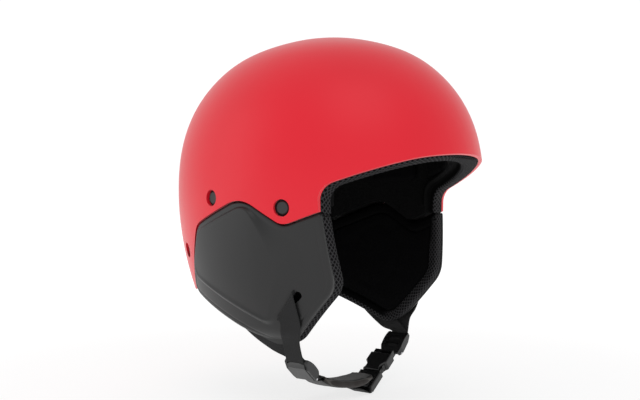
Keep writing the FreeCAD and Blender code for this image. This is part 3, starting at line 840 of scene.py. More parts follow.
def edge_distance(points: np.ndarray, outline: np.ndarray) -> np.ndarray:
    """Signed distance to a closed outline, positive inside.

    Args:
        points: Points (n, 2).
        outline: Outline (m, 2).

    Returns:
        Distances (n,).
    """
    start, end = outline, np.roll(outline, -1, 0)
    run = end - start
    gap = points[:, None, :] - start[None]
    share = np.clip(np.sum(gap * run, -1) / np.sum(run * run, -1), 0, 1)
    near = np.min(np.linalg.norm(gap - share[..., None] * run, axis=-1), axis=1)
    y, z = points[:, 0][:, None], points[:, 1][:, None]
    y0, z0, y1, z1 = start[:, 0], start[:, 1], end[:, 0], end[:, 1]
    spans = (z0 > z) != (z1 > z)
    with np.errstate(divide="ignore", invalid="ignore"):
        cross = y < (y1 - y0) * (z - z0) / (z1 - z0) + y0
    inside = np.sum(spans & cross, axis=1) % 2 == 1
    return np.where(inside, near, -near)


def smooth(value: np.ndarray, low: float, high: float) -> np.ndarray:
    """Smooth step.

    Args:
        value: Values.
        low: Where it is 0.
        high: Where it is 1.

    Returns:
        Values from 0 to 1.
    """
    t = np.clip((value - low) / (high - low), 0, 1)
    return t * t * (3 - 2 * t)


def bell(value: np.ndarray, width: float) -> np.ndarray:
    """Bell curve of height 1 about value = 0."""
    return np.exp(-((value / width) ** 2))


def rounding(share: np.ndarray) -> np.ndarray:
    """Quarter-round profile: 0 at an edge, 1 once the share is past 1."""
    return np.sqrt(np.clip(1 - (1 - np.clip(share, 0, 1)) ** 2, 0, None))


def rings_within(middle: Flat, outline: np.ndarray, count: int, power: float) -> np.ndarray:
    """Rings between a middle and an outline.

    Args:
        middle: The middle point.
        outline: Points (n, 2).
        count: Number of rings.
        power: How much closer the rings lie towards the outline.

    Returns:
        Points (count, n, 2).
    """
    shares = 1 - (1 - np.linspace(0, 1, count)) ** power
    centre = np.array(middle)
    return centre + (outline - centre)[None] * shares[:, None, None]


def ripple(points: np.ndarray, wave_mm: float, seed: int) -> np.ndarray:
    """Seeded smooth unevenness of cloth.

    Args:
        points: Points (n, k) in millimetres.
        wave_mm: Wavelength.
        seed: Random seed.

    Returns:
        Values near -1..1.
    """
    rng = np.random.default_rng(seed)
    total = np.zeros(len(points))
    waves = 7
    for _ in range(waves):
        direction = rng.normal(size=points.shape[1])
        direction /= np.linalg.norm(direction)
        length = wave_mm * rng.uniform(0.7, 1.5)
        total += np.sin(points @ direction * 2 * math.pi / length + rng.uniform(0, 6.28))
    return total / 3.0


class Forge:
    """Makes and finishes mesh objects from rows of points."""

    @staticmethod
    def grid(
        name: str,
        rows: np.ndarray,
        wrap_rows: bool,
        wrap_cols: bool,
        material: bpy.types.Material,
        uv: Optional[np.ndarray] = None,
        caps: bool = False,
    ) -> bpy.types.Object:
        """Make a mesh from a grid of points.

        Args:
            name: Object name.
            rows: Points (rows, cols, 3) in millimetres.
            wrap_rows: Join the last row to the first.
            wrap_cols: Join the last column to the first.
            material: Material.
            uv: Lengthwise and crosswise position (rows, cols, 2) in millimetres.
            caps: Close the first and last rows with a face each.

        Returns:
            The object.
        """
        count, width = rows.shape[:2]
        index = np.arange(count * width).reshape(count, width)
        faces: List[List[int]] = []
        for i in range(count if wrap_rows else count - 1):
            for j in range(width if wrap_cols else width - 1):
                i2, j2 = (i + 1) % count, (j + 1) % width
                faces.append([index[i, j], index[i, j2], index[i2, j2], index[i2, j]])
        if caps:
            faces += [list(index[0][::-1]), list(index[-1])]
        mesh = bpy.data.meshes.new(name)
        mesh.from_pydata((rows.reshape(-1, 3) * MM).tolist(), [], [[int(k) for k in f] for f in faces])
        if uv is not None:
            layer = mesh.uv_layers.new(name="UVMap")
            flat = uv.reshape(-1, 2)
            order = np.zeros(len(mesh.loops), np.int32)
            mesh.loops.foreach_get("vertex_index", order)
            layer.data.foreach_set("uv", flat[order].astype(np.float32).ravel())
        return Forge.settle(name, mesh, material)

    @staticmethod
    def settle(name: str, mesh: bpy.types.Mesh, material: bpy.types.Material) -> bpy.types.Object:
        """Weld, orient, smooth and link a mesh.

        Args:
            name: Object name.
            mesh: The mesh.
            material: Material.

        Returns:
            The object.
        """
        bm = bmesh.new()
        bm.from_mesh(mesh)
        bmesh.ops.remove_doubles(bm, verts=bm.verts, dist=1e-6)
        bmesh.ops.recalc_face_normals(bm, faces=bm.faces)
        bm.to_mesh(mesh)
        bm.free()
        mesh.materials.append(material)
        mesh.polygons.foreach_set("use_smooth", [True] * len(mesh.polygons))
        made = bpy.data.objects.new(name, mesh)
        bpy.context.scene.collection.objects.link(made)
        LOG.info("made %s with %d faces", name, len(mesh.polygons))
        return made

    @staticmethod
    def disc(
        name: str,
        front: np.ndarray,
        back: np.ndarray,
        material: bpy.types.Material,
        uv: Optional[np.ndarray] = None,
    ) -> bpy.types.Object:
        """Make a closed pad from a front and a back set of rings, both from the middle outwards.

        Args:
            name: Object name.
            front: Rings (rings, cols, 3) of the front.
            back: Rings of the back.
            material: Material.
            uv: Position on the front, (rings, cols, 2).

        Returns:
            The object.
        """
        rows = np.concatenate([front, back[::-1]])
        both = None if uv is None else np.concatenate([uv, uv[::-1]])
        return Forge.grid(name, rows, False, True, material, both)

    @staticmethod
    def place(
        made: bpy.types.Object, body: str, slot: str, *nodes: str, fill: Optional[float] = None
    ) -> None:
        """Put a piece on its body, and hide the CAD nodes it replaces.

        Args:
            made: The piece.
            body: Body it rides on.
            slot: Name of its material slot; not used.
            nodes: CAD nodes it replaces.
            fill: Fill of a padded piece, or None for others; not used.
        """
        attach(made, body)
        if nodes:
            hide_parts(*nodes)


# --------------------------------------------------------------------------
# Ear pads
# --------------------------------------------------------------------------


EAR_CORNERS = (
    (-61.9, -21.9, 1.2),
    (-34.4, -31.9, 12),
    (1.6, -10.5, 29),
    (57.6, -31.8, 16),
    (82.4, -86.0, 9),
    (-22.0, -126.1, 24),
    (-66.4, -76.6, 22),
)
CUP_CORNERS = (
    (-1, -15.5, 16),
    (54.5, -35.5, 14),
    (72.0, -72, 10),
    (-15, -107.4, 12),
    (-46.5, -74, 22),
    (-50.5, -48, 20),
    (-22, -30, 30),
)


@dataclass
class EarPad:
    """One soft ear pad: cover with raised cup, mesh edging and lining."""

    side: Side
    recess: float = 0.9
    cup_raise: float = 2.6
    cup_bevel: float = 2.2
    cup_slope: float = 22.8
    cup_front: Flat = (4.0, 34.0)
    cup_fade: float = 0.35
    ledge: float = 1.2
    ledge_low: Flat = (60.0, 84.0)
    ledge_in: float = 3.0
    ledge_width: float = 1.5
    hem: float = 1.9
    groove_in: float = 4.2
    thickness: float = 11.0
    shell: float = 3.0
    edging: float = 8.6
    foam_back: float = 5.4
    middle: Flat = (2.0, -66.0)
    slot_low: Flat = (-23.3, -98.7)
    slot_high: Flat = (-40.2, -81.9)
    slot_radii: Flat = (1.0, 2.9)
    ear_centre: Flat = (6.0, -62.0)
    ear_radius: float = 24.0
    outline: np.ndarray = field(init=False)
    cup: np.ndarray = field(init=False)

    def __post_init__(self) -> None:
        """Draw the outlines."""
        self.outline = rounded(EAR_CORNERS, 1.1)
        self.cup = rounded(CUP_CORNERS, 1.2)

    def _lift(self, points: np.ndarray, depth: np.ndarray) -> np.ndarray:
        """Put (y, z) points at a depth under the dome, on this pad's side."""
        return self._beside(points, DOME.side_x(points[..., 0], points[..., 1], depth))

    def _beside(self, points: np.ndarray, x: np.ndarray) -> np.ndarray:
        """Put (y, z) points at distances from the middle plane, on this pad's side."""
        return np.stack([self.side.value * x, points[..., 0], points[..., 1]], -1)

    def cup_height(self, flat: np.ndarray) -> np.ndarray:
        """Raise of the ear cup: a crisp bevel behind and below, and a slow one in front.

        Args:
            flat: Points (n, 2).

        Returns:
            Heights in millimetres.
        """
        inside = edge_distance(flat, self.cup)
        forward = smooth(-flat[:, 0], *self.cup_front)
        bevel = self.cup_bevel + self.cup_slope * forward
        crisp = np.clip((inside + 0.6) / bevel, 0, 1)
        rise = np.where(crisp < 1, np.sin(crisp * math.pi / 2) ** 1.2, 1.0)
        low = smooth(-flat[:, 1], *self.ledge_low)
        ledge = 0.8 * bell(inside - self.ledge_in, self.ledge_width) * (1.0 - forward) * low
        return self.cup_raise * rise * (1.0 - self.cup_fade * forward) + self.ledge * ledge

    def build_cover(self, material: bpy.types.Material) -> bpy.types.Object:
        """Smooth outer cover with the raised cup, a rolled hem and the strap slot.

        Args:
            material: Cover material.

        Returns:
            The object.
        """
        rings = rings_within(self.middle, self.outline, 92, 1.35)
        shape = rings.shape
        flat = rings.reshape(-1, 2)
        gap = np.clip(edge_distance(flat, self.outline), 0, None)
        near = np.clip(gap, 0, self.hem)
        roll = self.hem - np.sqrt(np.clip(self.hem**2 - (self.hem - near) ** 2, 0, None))
        groove = 0.35 * bell(gap - self.groove_in, 0.7) * smooth(-flat[:, 1], 30, 45)
        depth = self.recess + roll + groove - self.cup_height(flat)
        x = DOME.side_x(flat[:, 0], flat[:, 1], depth, True)
        floor = DOME.side_x(flat[:, 0], flat[:, 1], self.shell) + 0.2
        front = self._beside(flat, np.maximum(x, floor)).reshape(*shape[:2], 3)
        back = self._lift(rings, np.full(shape[:2], self.shell))
        made = Forge.disc(f"ear_cover_skin_{self.side.tag}", front, back, material)
        self._cut_slot(made)
        return made

    def _cut_slot(self, made: bpy.types.Object) -> None:
        """Cut the slanted strap slot through the cover, narrow at its low end.

        Args:
            made: The cover.
        """
        first, last = np.array(self.slot_low), np.array(self.slot_high)
        along = (last - first) / np.linalg.norm(last - first)
        across = np.array([-along[1], along[0]])
        ring = []
        for centre, turn, half in zip((first, last), (-1.0, 1.0), self.slot_radii):
            for k in range(9):
                angle = math.pi * (k / 8 - 0.5)
                ring.append(centre + turn * half * (along * math.cos(angle) + across * math.sin(angle)))
        ends = [self._beside(np.array(ring), np.full(len(ring), x)) for x in (70.0, 120.0)]
        material = made.data.materials[0]
        cutter = Forge.grid("slot_cutter", np.stack(ends), False, True, material, caps=True)
        cut = made.modifiers.new("slot", "BOOLEAN")
        cut.operation = "DIFFERENCE"
        cut.solver = "EXACT"
        cut.object = cutter
        Shop.apply(made)
        bpy.data.objects.remove(cutter)

    def build_edging(self, material: bpy.types.Material) -> bpy.types.Object:
        """Mesh edging: a soft roll round the pad's edge that wraps onto its inner face.

        Args:
            material: Mesh material.

        Returns:
            The object.
        """
        low, high = self.shell + 0.3, self.shell + self.thickness
        half, wide = (low + high) / 2, self.edging
        section = [(0.7, low), (0.15, low + 0.5), (-0.35, low + 2.5), (-0.7, half), (-0.35, high - 2.2)]
        section += [(0.5, high - 0.4), (1.8, high + 0.45), (4.4, high + 0.9), (7.2, high + 0.7)]
        section += [(wide, high - 0.3), (wide + 0.3, high - 2), (wide, half)]
        section += [(5.0, low + 1.8), (1.8, low + 0.3)]
        loop = evened(np.array(section), 0.8, True)
        normal = inward(self.outline)
        rows, uv = [], []
        run, girth = travelled(self.outline), travelled(loop)
        for k, (offset, depth) in enumerate(loop):
            flat = self.outline + normal * offset
            rows.append(self._lift(flat, np.full(len(flat), depth)))
            uv.append(np.stack([run, np.full(len(run), girth[k])], -1))
        name = f"ear_edging_mesh_{self.side.tag}"
        return Forge.grid(name, np.array(rows), True, True, material, np.array(uv))

    def build_lining(self, material: bpy.types.Material) -> bpy.types.Object:
        """Fleece lining over the foam core, softly crowned with a sewn ear recess.

        Args:
            material: Fleece material.

        Returns:
            The object.
        """
        core = self.outline + inward(self.outline) * (self.edging + 0.5)
        rings = rings_within(self.middle, core, 44, 1.2)
        flat = rings.reshape(-1, 2)
        gap = np.clip(edge_distance(flat, core), 0, None)
        ear = np.hypot(flat[:, 0] - self.ear_centre[0], (flat[:, 1] - self.ear_centre[1]) * 0.85)
        crown = 0.9 * smooth(gap, 0, 9) - 0.4 * bell(ear - self.ear_radius, 2.6) + 0.18 * ripple(flat, 15, 3)
        depth = self.shell + self.thickness - 0.2 + crown - 1.2 * (1 - smooth(gap, 0, 1.5))
        front = self._lift(flat, depth).reshape(*rings.shape[:2], 3)
        back = self._lift(rings, np.full(rings.shape[:2], self.foam_back))
        return Forge.disc(f"ear_lining_{self.side.tag}", front, back, material, rings)

    def build(self, finishes: Dict[str, bpy.types.Material]) -> None:
        """Make the pad's pieces.

        Args:
            finishes: Materials by name.
        """
        tag = self.side.tag
        cover = self.build_cover(finishes["cover"])
        Forge.place(cover, "helmet", "cover_charcoal", f"ear_cover_{tag}", fill=0.9)
        edging = self.build_edging(finishes["ear_mesh"])
        Forge.place(edging, "helmet", "mesh_black", f"ear_edging_{tag}", fill=0.8)
        lining = self.build_lining(finishes["fleece"])
        Forge.place(lining, "helmet", "fleece_black", f"ear_fleece_{tag}", f"ear_foam_{tag}", fill=0.7)


class Shop:
    """Mesh operations on finished objects."""

    SHARP = 32.0

    @staticmethod
    def apply(made: bpy.types.Object) -> None:
        """Bake the object's modifiers into its mesh.

        Args:
            made: The object.
        """
        graph = bpy.context.evaluated_depsgraph_get()
        mesh = bpy.data.meshes.new_from_object(made.evaluated_get(graph), depsgraph=graph)
        made.modifiers.clear()
        made.data = mesh

    @staticmethod
    def soften(node: bpy.types.Object, width_mm: float) -> None:
        """Round a rigid node's edges a little.

        Args:
            node: CAD node's object.
            width_mm: Bevel width.
        """
        bevel = node.modifiers.new("edge", "BEVEL")
        bevel.width = width_mm * MM
        bevel.segments = 2
        bevel.limit_method = "ANGLE"
        bevel.angle_limit = math.radians(Shop.SHARP)
        bevel.harden_normals = False
        bevel.use_clamp_overlap = True


# --------------------------------------------------------------------------
# Brow edging and comfort pads
# --------------------------------------------------------------------------


BROW_CORNERS = (
    (-61.1, -60.0, 1),
    (-165.0, -60.0, 1),
    (-165.0, 31.5, 1),
    (-118.0, 18.6, 120),
    (-61.1, -3.0, 14),
)


@dataclass
class BrowTrim:
    """Mesh edging folded round the brow edge of the shell and liner."""

    depth: float = 28.2
    high: float = 7.2
    temple_y: float = -61.1
    temple_z: float = -21.2
    front_y: float = -128.0
    samples: int = 330

    def _line(self, shift: float, inset: float, count: int) -> np.ndarray:
        """Brow line on a layer of the dome, from the right temple round to the left.

        Args:
            shift: Move of the line, up and back.
            inset: Depth of the layer.
            count: Number of samples.

        Returns:
            Points (count, 3).
        """
        closed = rounded(BROW_CORNERS, 0.6)
        start = int(np.argmin(np.hypot(closed[:, 0] - self.temple_y, closed[:, 1] - self.temple_z)))
        line = np.roll(closed, -start, 0)
        if line[4, 1] < line[0, 1]:
            line = np.roll(line[::-1], 1, 0)
        line = line + shift
        line[:, 1] = np.maximum(line[:, 1], self.temple_z + min(0.0, shift))
        stop = int(np.argmax(line[:, 0] < self.front_y)) or len(line)
        line = line[:stop]
        x = DOME.side_x(line[:, 0], line[:, 1], inset)
        side = line[x > 0.5]
        x = x[x > 0.5]
        right = np.stack([-x, side[:, 0], side[:, 1]], -1)
        last = side[-1]
        front = np.array([[0.0, last[0] - 0.02 * x[-1], last[1] + 0.004 * x[-1]]])
        left = right[::-1] * np.array([-1.0, 1.0, 1.0])
        whole = np.vstack([right, front, left])
        run = travelled(whole)
        return resampled(whole, run, np.linspace(0, run[-1], count))

    def build(self, material: bpy.types.Material) -> bpy.types.Object:
        """Make the folded band.

        Args:
            material: Mesh material.

        Returns:
            The object.
        """
        deep = self.depth
        section = [(0.9, 3.5, 3.5), (-0.7, 3.9, 3.9), (-1.2, 8.0, 9.0), (-1.2, 12.5, 15.5)]
        section += [(-0.4, 14.2, 18.0), (1.5, 14.9, 18.9), (3.6, 15.6, 19.6), (4.2, 18.0, 21.5)]
        section += [(4.4, 24.0, 25.0), (5.2, deep, deep), (self.high, deep, deep), (7.4, 20.0, 22.0)]
        section += [(7.4, 4.2, 4.2), (4.0, 3.5, 3.5)]
        loop = evened(np.array(section, float), 1.2, True)
        girth = travelled(loop[:, :2])
        lines = []
        for shift, near, far in loop:
            right, left = self._line(shift, near, self.samples), self._line(shift, far, self.samples)
            share = smooth(right[:, :1], -40.0, 60.0)
            lines.append(right * (1 - share) + left * share)
        rows = np.array(lines)
        uv = np.stack(np.meshgrid(girth, travelled(rows[3]), indexing="ij")[::-1], -1)
        rows, uv = rows.transpose(1, 0, 2), uv.transpose(1, 0, 2)
        return Forge.grid("brow_edging_mesh", rows, False, True, material, uv, caps=True)


@dataclass(frozen=True)
class PadPatch:
    """Comfort pad on a patch of the lining layer, from an outline in patch coordinates."""

    name: str
    node: str
    corners: Tuple[Tuple[float, float, float], ...]
    middle: Flat
    lift: Callable[[np.ndarray, np.ndarray], np.ndarray]
    seams: Callable[[np.ndarray], np.ndarray]
    back: float = 23.9
    face: float = 29.4
    edge: float = 4.0

    def build(self, material: bpy.types.Material) -> None:
        """Make the pad.

        Args:
            material: Fleece material.
        """
        outline = rounded(self.corners, 1.6)
        rings = rings_within(self.middle, outline, 46, 1.25)
        flat = rings.reshape(-1, 2)
        gap = np.clip(edge_distance(flat, outline), 0, None)
        roll = (1 - rounding(gap / self.edge)) * (self.face - self.back - 0.8)
        puff = 0.7 * smooth(gap, 3, 16) - self.seams(flat) + 0.15 * ripple(flat, 18, 11)
        front = self.lift(flat, self.face - roll + puff * smooth(gap, 0, 3)).reshape(*rings.shape[:2], 3)
        behind = self.lift(flat, np.full(len(flat), self.back)).reshape(*rings.shape[:2], 3)
        made = Forge.disc(self.name, front, behind, material, rings)
        Forge.place(made, "helmet", "fleece_black", self.node, fill=0.7)


class Lining:
    """The five comfort pads inside the liner: crown, brow, nape and one at each temple."""

    TURN_SPAN = 100.0
    SEAM = 1.8
    CROWN_RADIUS = 50.5
    RING_RADIUS = 24.0
    SIDE_X = 84.0
    SIDE_Y = 104.0
    BROW = (
        (-98.0, 9.0, 5.0),
        (-60.0, 14.0, 30.0),
        (0.0, 25.5, 120.0),
        (60.0, 14.0, 30.0),
        (98.0, 9.0, 5.0),
        (96.0, 60.0, 9.0),
        (-96.0, 60.0, 9.0),
    )
    NAPE = (
        (-72.0, 10.0, 8.0),
        (-74.0, -24.0, 8.0),
        (-50.0, -76.0, 10.0),
        (50.0, -76.0, 10.0),
        (74.0, -24.0, 8.0),
        (72.0, 10.0, 8.0),
    )
    TEMPLE = ((-44.0, 8.0, 7.0), (52.0, 8.0, 7.0), (52.0, 50.0, 11.0), (-44.0, 50.0, 11.0))

    @classmethod
    def _wrapped(cls, rear: bool) -> Callable[[np.ndarray, np.ndarray], np.ndarray]:
        """Lift for pads wrapped round the front or the rear of the head.

        Args:
            rear: True for the rear.

        Returns:
            Function from (arc, height) points and depths to positions.
        """

        def lift(flat: np.ndarray, depth: np.ndarray) -> np.ndarray:
            """Wrap points round the head.

            Args:
                flat: (arc, height) points.
                depth: Depths under the dome.

            Returns:
                Positions.
            """
            turn = flat[:, 0] / cls.TURN_SPAN
            if rear:
                turn = math.pi - turn
            return DOME.around(turn, flat[:, 1], depth)

        return lift

    @classmethod
    def _beside(cls, sign: int) -> Callable[[np.ndarray, np.ndarray], np.ndarray]:
        """Lift for a pad at the side of the head.

        Args:
            sign: Sign of the side's X.

        Returns:
            Function from (y, z) points and depths to positions.
        """

        def lift(flat: np.ndarray, depth: np.ndarray) -> np.ndarray:
            """Lay points beside the head.

            Args:
                flat: (y, z) points.
                depth: Depths under the dome.

            Returns:
                Positions.
            """
            turn = np.arctan2(np.full(len(flat), cls.SIDE_X), -flat[:, 0] * cls.SIDE_X / cls.SIDE_Y)
            points = DOME.around(turn, flat[:, 1], depth)
            points[:, 0] *= sign
            return points

        return lift

    @staticmethod
    def _above(flat: np.ndarray, depth: np.ndarray) -> np.ndarray:
        """Lift for the pad over the crown."""
        height = np.array([float(DOME.height(p[0], p[1], d)) for p, d in zip(flat, depth)])
        return np.stack([flat[:, 0], flat[:, 1], height], -1)

    @classmethod
    def _groove(cls, value: np.ndarray) -> np.ndarray:
        """Depth of a sewn groove along value = 0."""
        return 1.3 * bell(value, cls.SEAM)

    @classmethod
    def _crown_seams(cls, flat: np.ndarray) -> np.ndarray:
        """Depth of the crown pad's seams: a ring, and a line in front of and behind it."""
        out = np.hypot(flat[:, 0], flat[:, 1] + 2)
        return cls._groove(out - cls.RING_RADIUS) + cls._groove(flat[:, 0]) * (out > cls.RING_RADIUS)

    @classmethod
    def build(cls, material: bpy.types.Material) -> None:
        """Make the pads.

        Args:
            material: Fleece material.
        """
        radius = cls.CROWN_RADIUS
        turns = np.linspace(0, 2 * math.pi, 17)[:-1]
        crown = tuple((radius * math.cos(a), radius * math.sin(a) - 2, 6.0) for a in turns)
        middle = (0.0, -2.0)
        PadPatch("crown_cushion", "crown_pad", crown, middle, cls._above, cls._crown_seams).build(material)
        PadPatch(
            "brow_cushion",
            "brow_pad",
            cls.BROW,
            (0.0, 42.0),
            cls._wrapped(False),
            lambda f: cls._groove(np.abs(f[:, 0]) - 34) + cls._groove(np.abs(f[:, 0]) - 68),
        ).build(material)
        PadPatch(
            "nape_cushion",
            "nape_pad",
            cls.NAPE,
            (0.0, -30.0),
            cls._wrapped(True),
            lambda f: cls._groove(np.abs(f[:, 0]) - 22) * (f[:, 1] < -8) + cls._groove(f[:, 1] + 8),
        ).build(material)
        for side in Side:
            PadPatch(
                f"temple_cushion_{side.tag}",
                f"temple_pad_{side.tag}",
                cls.TEMPLE,
                (4.0, 28.0),
                cls._beside(side.value),
                lambda f: cls._groove(f[:, 0] - 4),
            ).build(material)


# --------------------------------------------------------------------------
# Straps
# --------------------------------------------------------------------------


def flowing(knots: np.ndarray, step: float) -> np.ndarray:
    """Smooth curve through knots, evenly sampled by the first three columns.

    Args:
        knots: Rows of values; the first three are a position.
        step: Spacing.

    Returns:
        Sampled rows.
    """
    chord = np.linalg.norm(np.diff(knots[:, :3], axis=0), axis=1) ** 0.5
    at = np.concatenate([[0], np.cumsum(chord)])
    slope = np.empty_like(knots)
    slope[1:-1] = (knots[2:] - knots[:-2]) / (at[2:] - at[:-2])[:, None]
    slope[0] = (knots[1] - knots[0]) / (at[1] - at[0])
    slope[-1] = (knots[-1] - knots[-2]) / (at[-1] - at[-2])
    rows = []
    for i in range(len(knots) - 1):
        span = at[i + 1] - at[i]
        for t in np.linspace(0, 1, 24, endpoint=False):
            a, b = 2 * t**3 - 3 * t**2 + 1, t**3 - 2 * t**2 + t
            c, d = -2 * t**3 + 3 * t**2, t**3 - t**2
            rows.append(a * knots[i] + b * span * slope[i] + c * knots[i + 1] + d * span * slope[i + 1])
    rows.append(knots[-1])
    path = np.array(rows)
    run = travelled(path[:, :3])
    return resampled(path, run, np.linspace(0, run[-1], max(4, int(run[-1] / step))))


@dataclass(frozen=True)
class Tape:
    """Flat webbing through stations."""

    name: str
    thickness: float = 1.3
    step: float = 0.9
    selvedge: float = 0.5

    def build(self, stations: Sequence[Station], material: bpy.types.Material) -> bpy.types.Object:
        """Make the webbing.

        Args:
            stations: (middle, half-width vector) pairs in millimetres.
            material: Webbing material.

        Returns:
            The object.
        """
        knots = np.array([np.concatenate([middle, half]) for middle, half in stations])
        line = flowing(knots, self.step)
        middle, half = line[:, :3], line[:, 3:]
        tangent = np.gradient(middle, axis=0)
        rise = np.cross(tangent, half)
        rise *= (self.thickness / 2) / np.linalg.norm(rise, axis=1, keepdims=True)
        width = float(np.mean(np.linalg.norm(half, axis=1)))
        lip = self.selvedge / width
        across = [-1.0, -1 + lip * 0.3, -1 + lip, -0.8, -0.4, 0.0, 0.4, 0.8, 1 - lip, 1 - lip * 0.3, 1.0]
        lift = [0.35, 0.8, 1.0, 0.93, 0.93, 0.93, 0.93, 0.93, 1.0, 0.8, 0.35]
        section = list(zip(across, lift)) + [(a, -b) for a, b in zip(across[::-1], lift[::-1])]
        run = travelled(middle)
        LOG.info("webbing %s is %.0f mm long and %.0f mm wide", self.name, run[-1], 2 * width)
        rows = np.array([[m + h * a + r * b for a, b in section] for m, h, r in zip(middle, half, rise)])
        uv = np.array([[(u, a * width) for a, _ in section] for u in run])
        return Forge.grid(self.name, rows, False, True, material, uv, caps=True)


@dataclass(frozen=True)
class Hang:
    """Places of the straps, dividers and buckle, in millimetres."""

    divider: Tuple[float, float, float] = (-67.6, -26.0, -138.2)
    divider_lean: float = 41.5
    divider_length: float = 24.0
    divider_base: float = 1.8
    divider_play: float = 0.3
    lane_gap: float = 0.25
    buckle: Tuple[float, float, float] = (53.4, -26.0, -146.8)
    buckle_lean: float = 32.2
    socket_height: float = 9.0
    bar_drop: float = 1.3
    plug_to: float = 46.5
    plug_height: float = 7.0
    web: float = 1.3
    web_width: float = 16.0
    gap: float = 0.35
    shell: float = 3.0
    chin: Tuple[Flat, ...] = (
        (-55.5, -150.2),
        (-46.0, -154.6),
        (-30.0, -158.9),
        (-12.0, -161.8),
        (4.0, -162.4),
        (14.0, -161.2),
    )

    def divider_axes(self) -> Tuple[np.ndarray, np.ndarray]:
        """Directions down the right divider and out of its face."""
        lean = math.radians(self.divider_lean)
        return np.array([math.cos(lean), 0, -math.sin(lean)]), np.array([-math.sin(lean), 0, -math.cos(lean)])

    def entry(self, lane: int) -> np.ndarray:
        """Where a strap lies flat in the right divider.

        Args:
            lane: 0 for the strap next to the frame, 1 for the one over it.

        Returns:
            The point.
        """
        down, out = self.divider_axes()
        height = self.divider_base + self.divider_play + self.web / 2 + lane * (self.web + self.lane_gap)
        return np.array(self.divider) - down * (self.divider_length / 2 - 3) + out * height

    def flat_run(self, lane: int, turn: float) -> List[Station]:
        """Last stations of a strap, between the divider's rails.

        Args:
            lane: Lane of the strap.
            turn: Sign of the half-width vector's Y.

        Returns:
            The stations.
        """
        down, _ = self.divider_axes()
        at = self.entry(lane)
        level = np.array([0.0, turn * self.web_width / 2, 0.0])
        return [(at - down * 3.6, level), (at, level), (at + down * 4.5, level), (at + down * 9, level)]

    def on_layer(
        self, middle: Sequence[float], half: Sequence[float], inset: float, flared: bool = False
    ) -> Station:
        """Station whose edges lie on a layer of the dome, on the right side.

        Args:
            middle: (y, z) of the middle.
            half: Half-width vector (y, z).
            inset: Depth of the layer.
            flared: True for the ear pad's outer face.

        Returns:
            Middle point and half-width vector.
        """
        ends = []
        for sign in (1, -1):
            y, z = middle[0] + sign * half[0], middle[1] + sign * half[1]
            ends.append(np.array([-float(DOME.side_x(y, z, inset, flared)), y, z]))
        return (ends[0] + ends[1]) / 2, (ends[0] - ends[1]) / 2

    def buckle_point(self, u: float, n: float) -> np.ndarray:
        """Point of the buckle's frame.

        Args:
            u: Distance towards the chin.
            n: Distance out of the buckle's face.

        Returns:
            The point.
        """
        lean = math.radians(self.buckle_lean)
        toward = np.array([-math.cos(lean), 0, -math.sin(lean)])
        face = np.array([math.sin(lean), 0, -math.cos(lean)])
        return np.array(self.buckle) + toward * u + face * n

    def divider_exit(self, sign: int) -> List[np.ndarray]:
        """Start of the webbing that leaves a divider at the bottom.

        Args:
            sign: Sign of the side's X.

        Returns:
            The points.
        """
        down, out = self.divider_axes()
        height = self.divider_base + self.divider_play + self.web / 2
        inner = np.array(self.divider) + down * 1.5 + out * height
        points = [inner, inner + down * 5, inner + down * 9.5]
        return [p * np.array([-sign, 1, 1]) for p in points]

    def below(self, x: float, z: float) -> np.ndarray:
        """Point under the chin, in line with the buckle."""
        return np.array([x, self.buckle[1], z])

    def chin_points(self) -> List[np.ndarray]:
        """The chin route as points."""
        return [self.below(x, z) for x, z in self.chin]


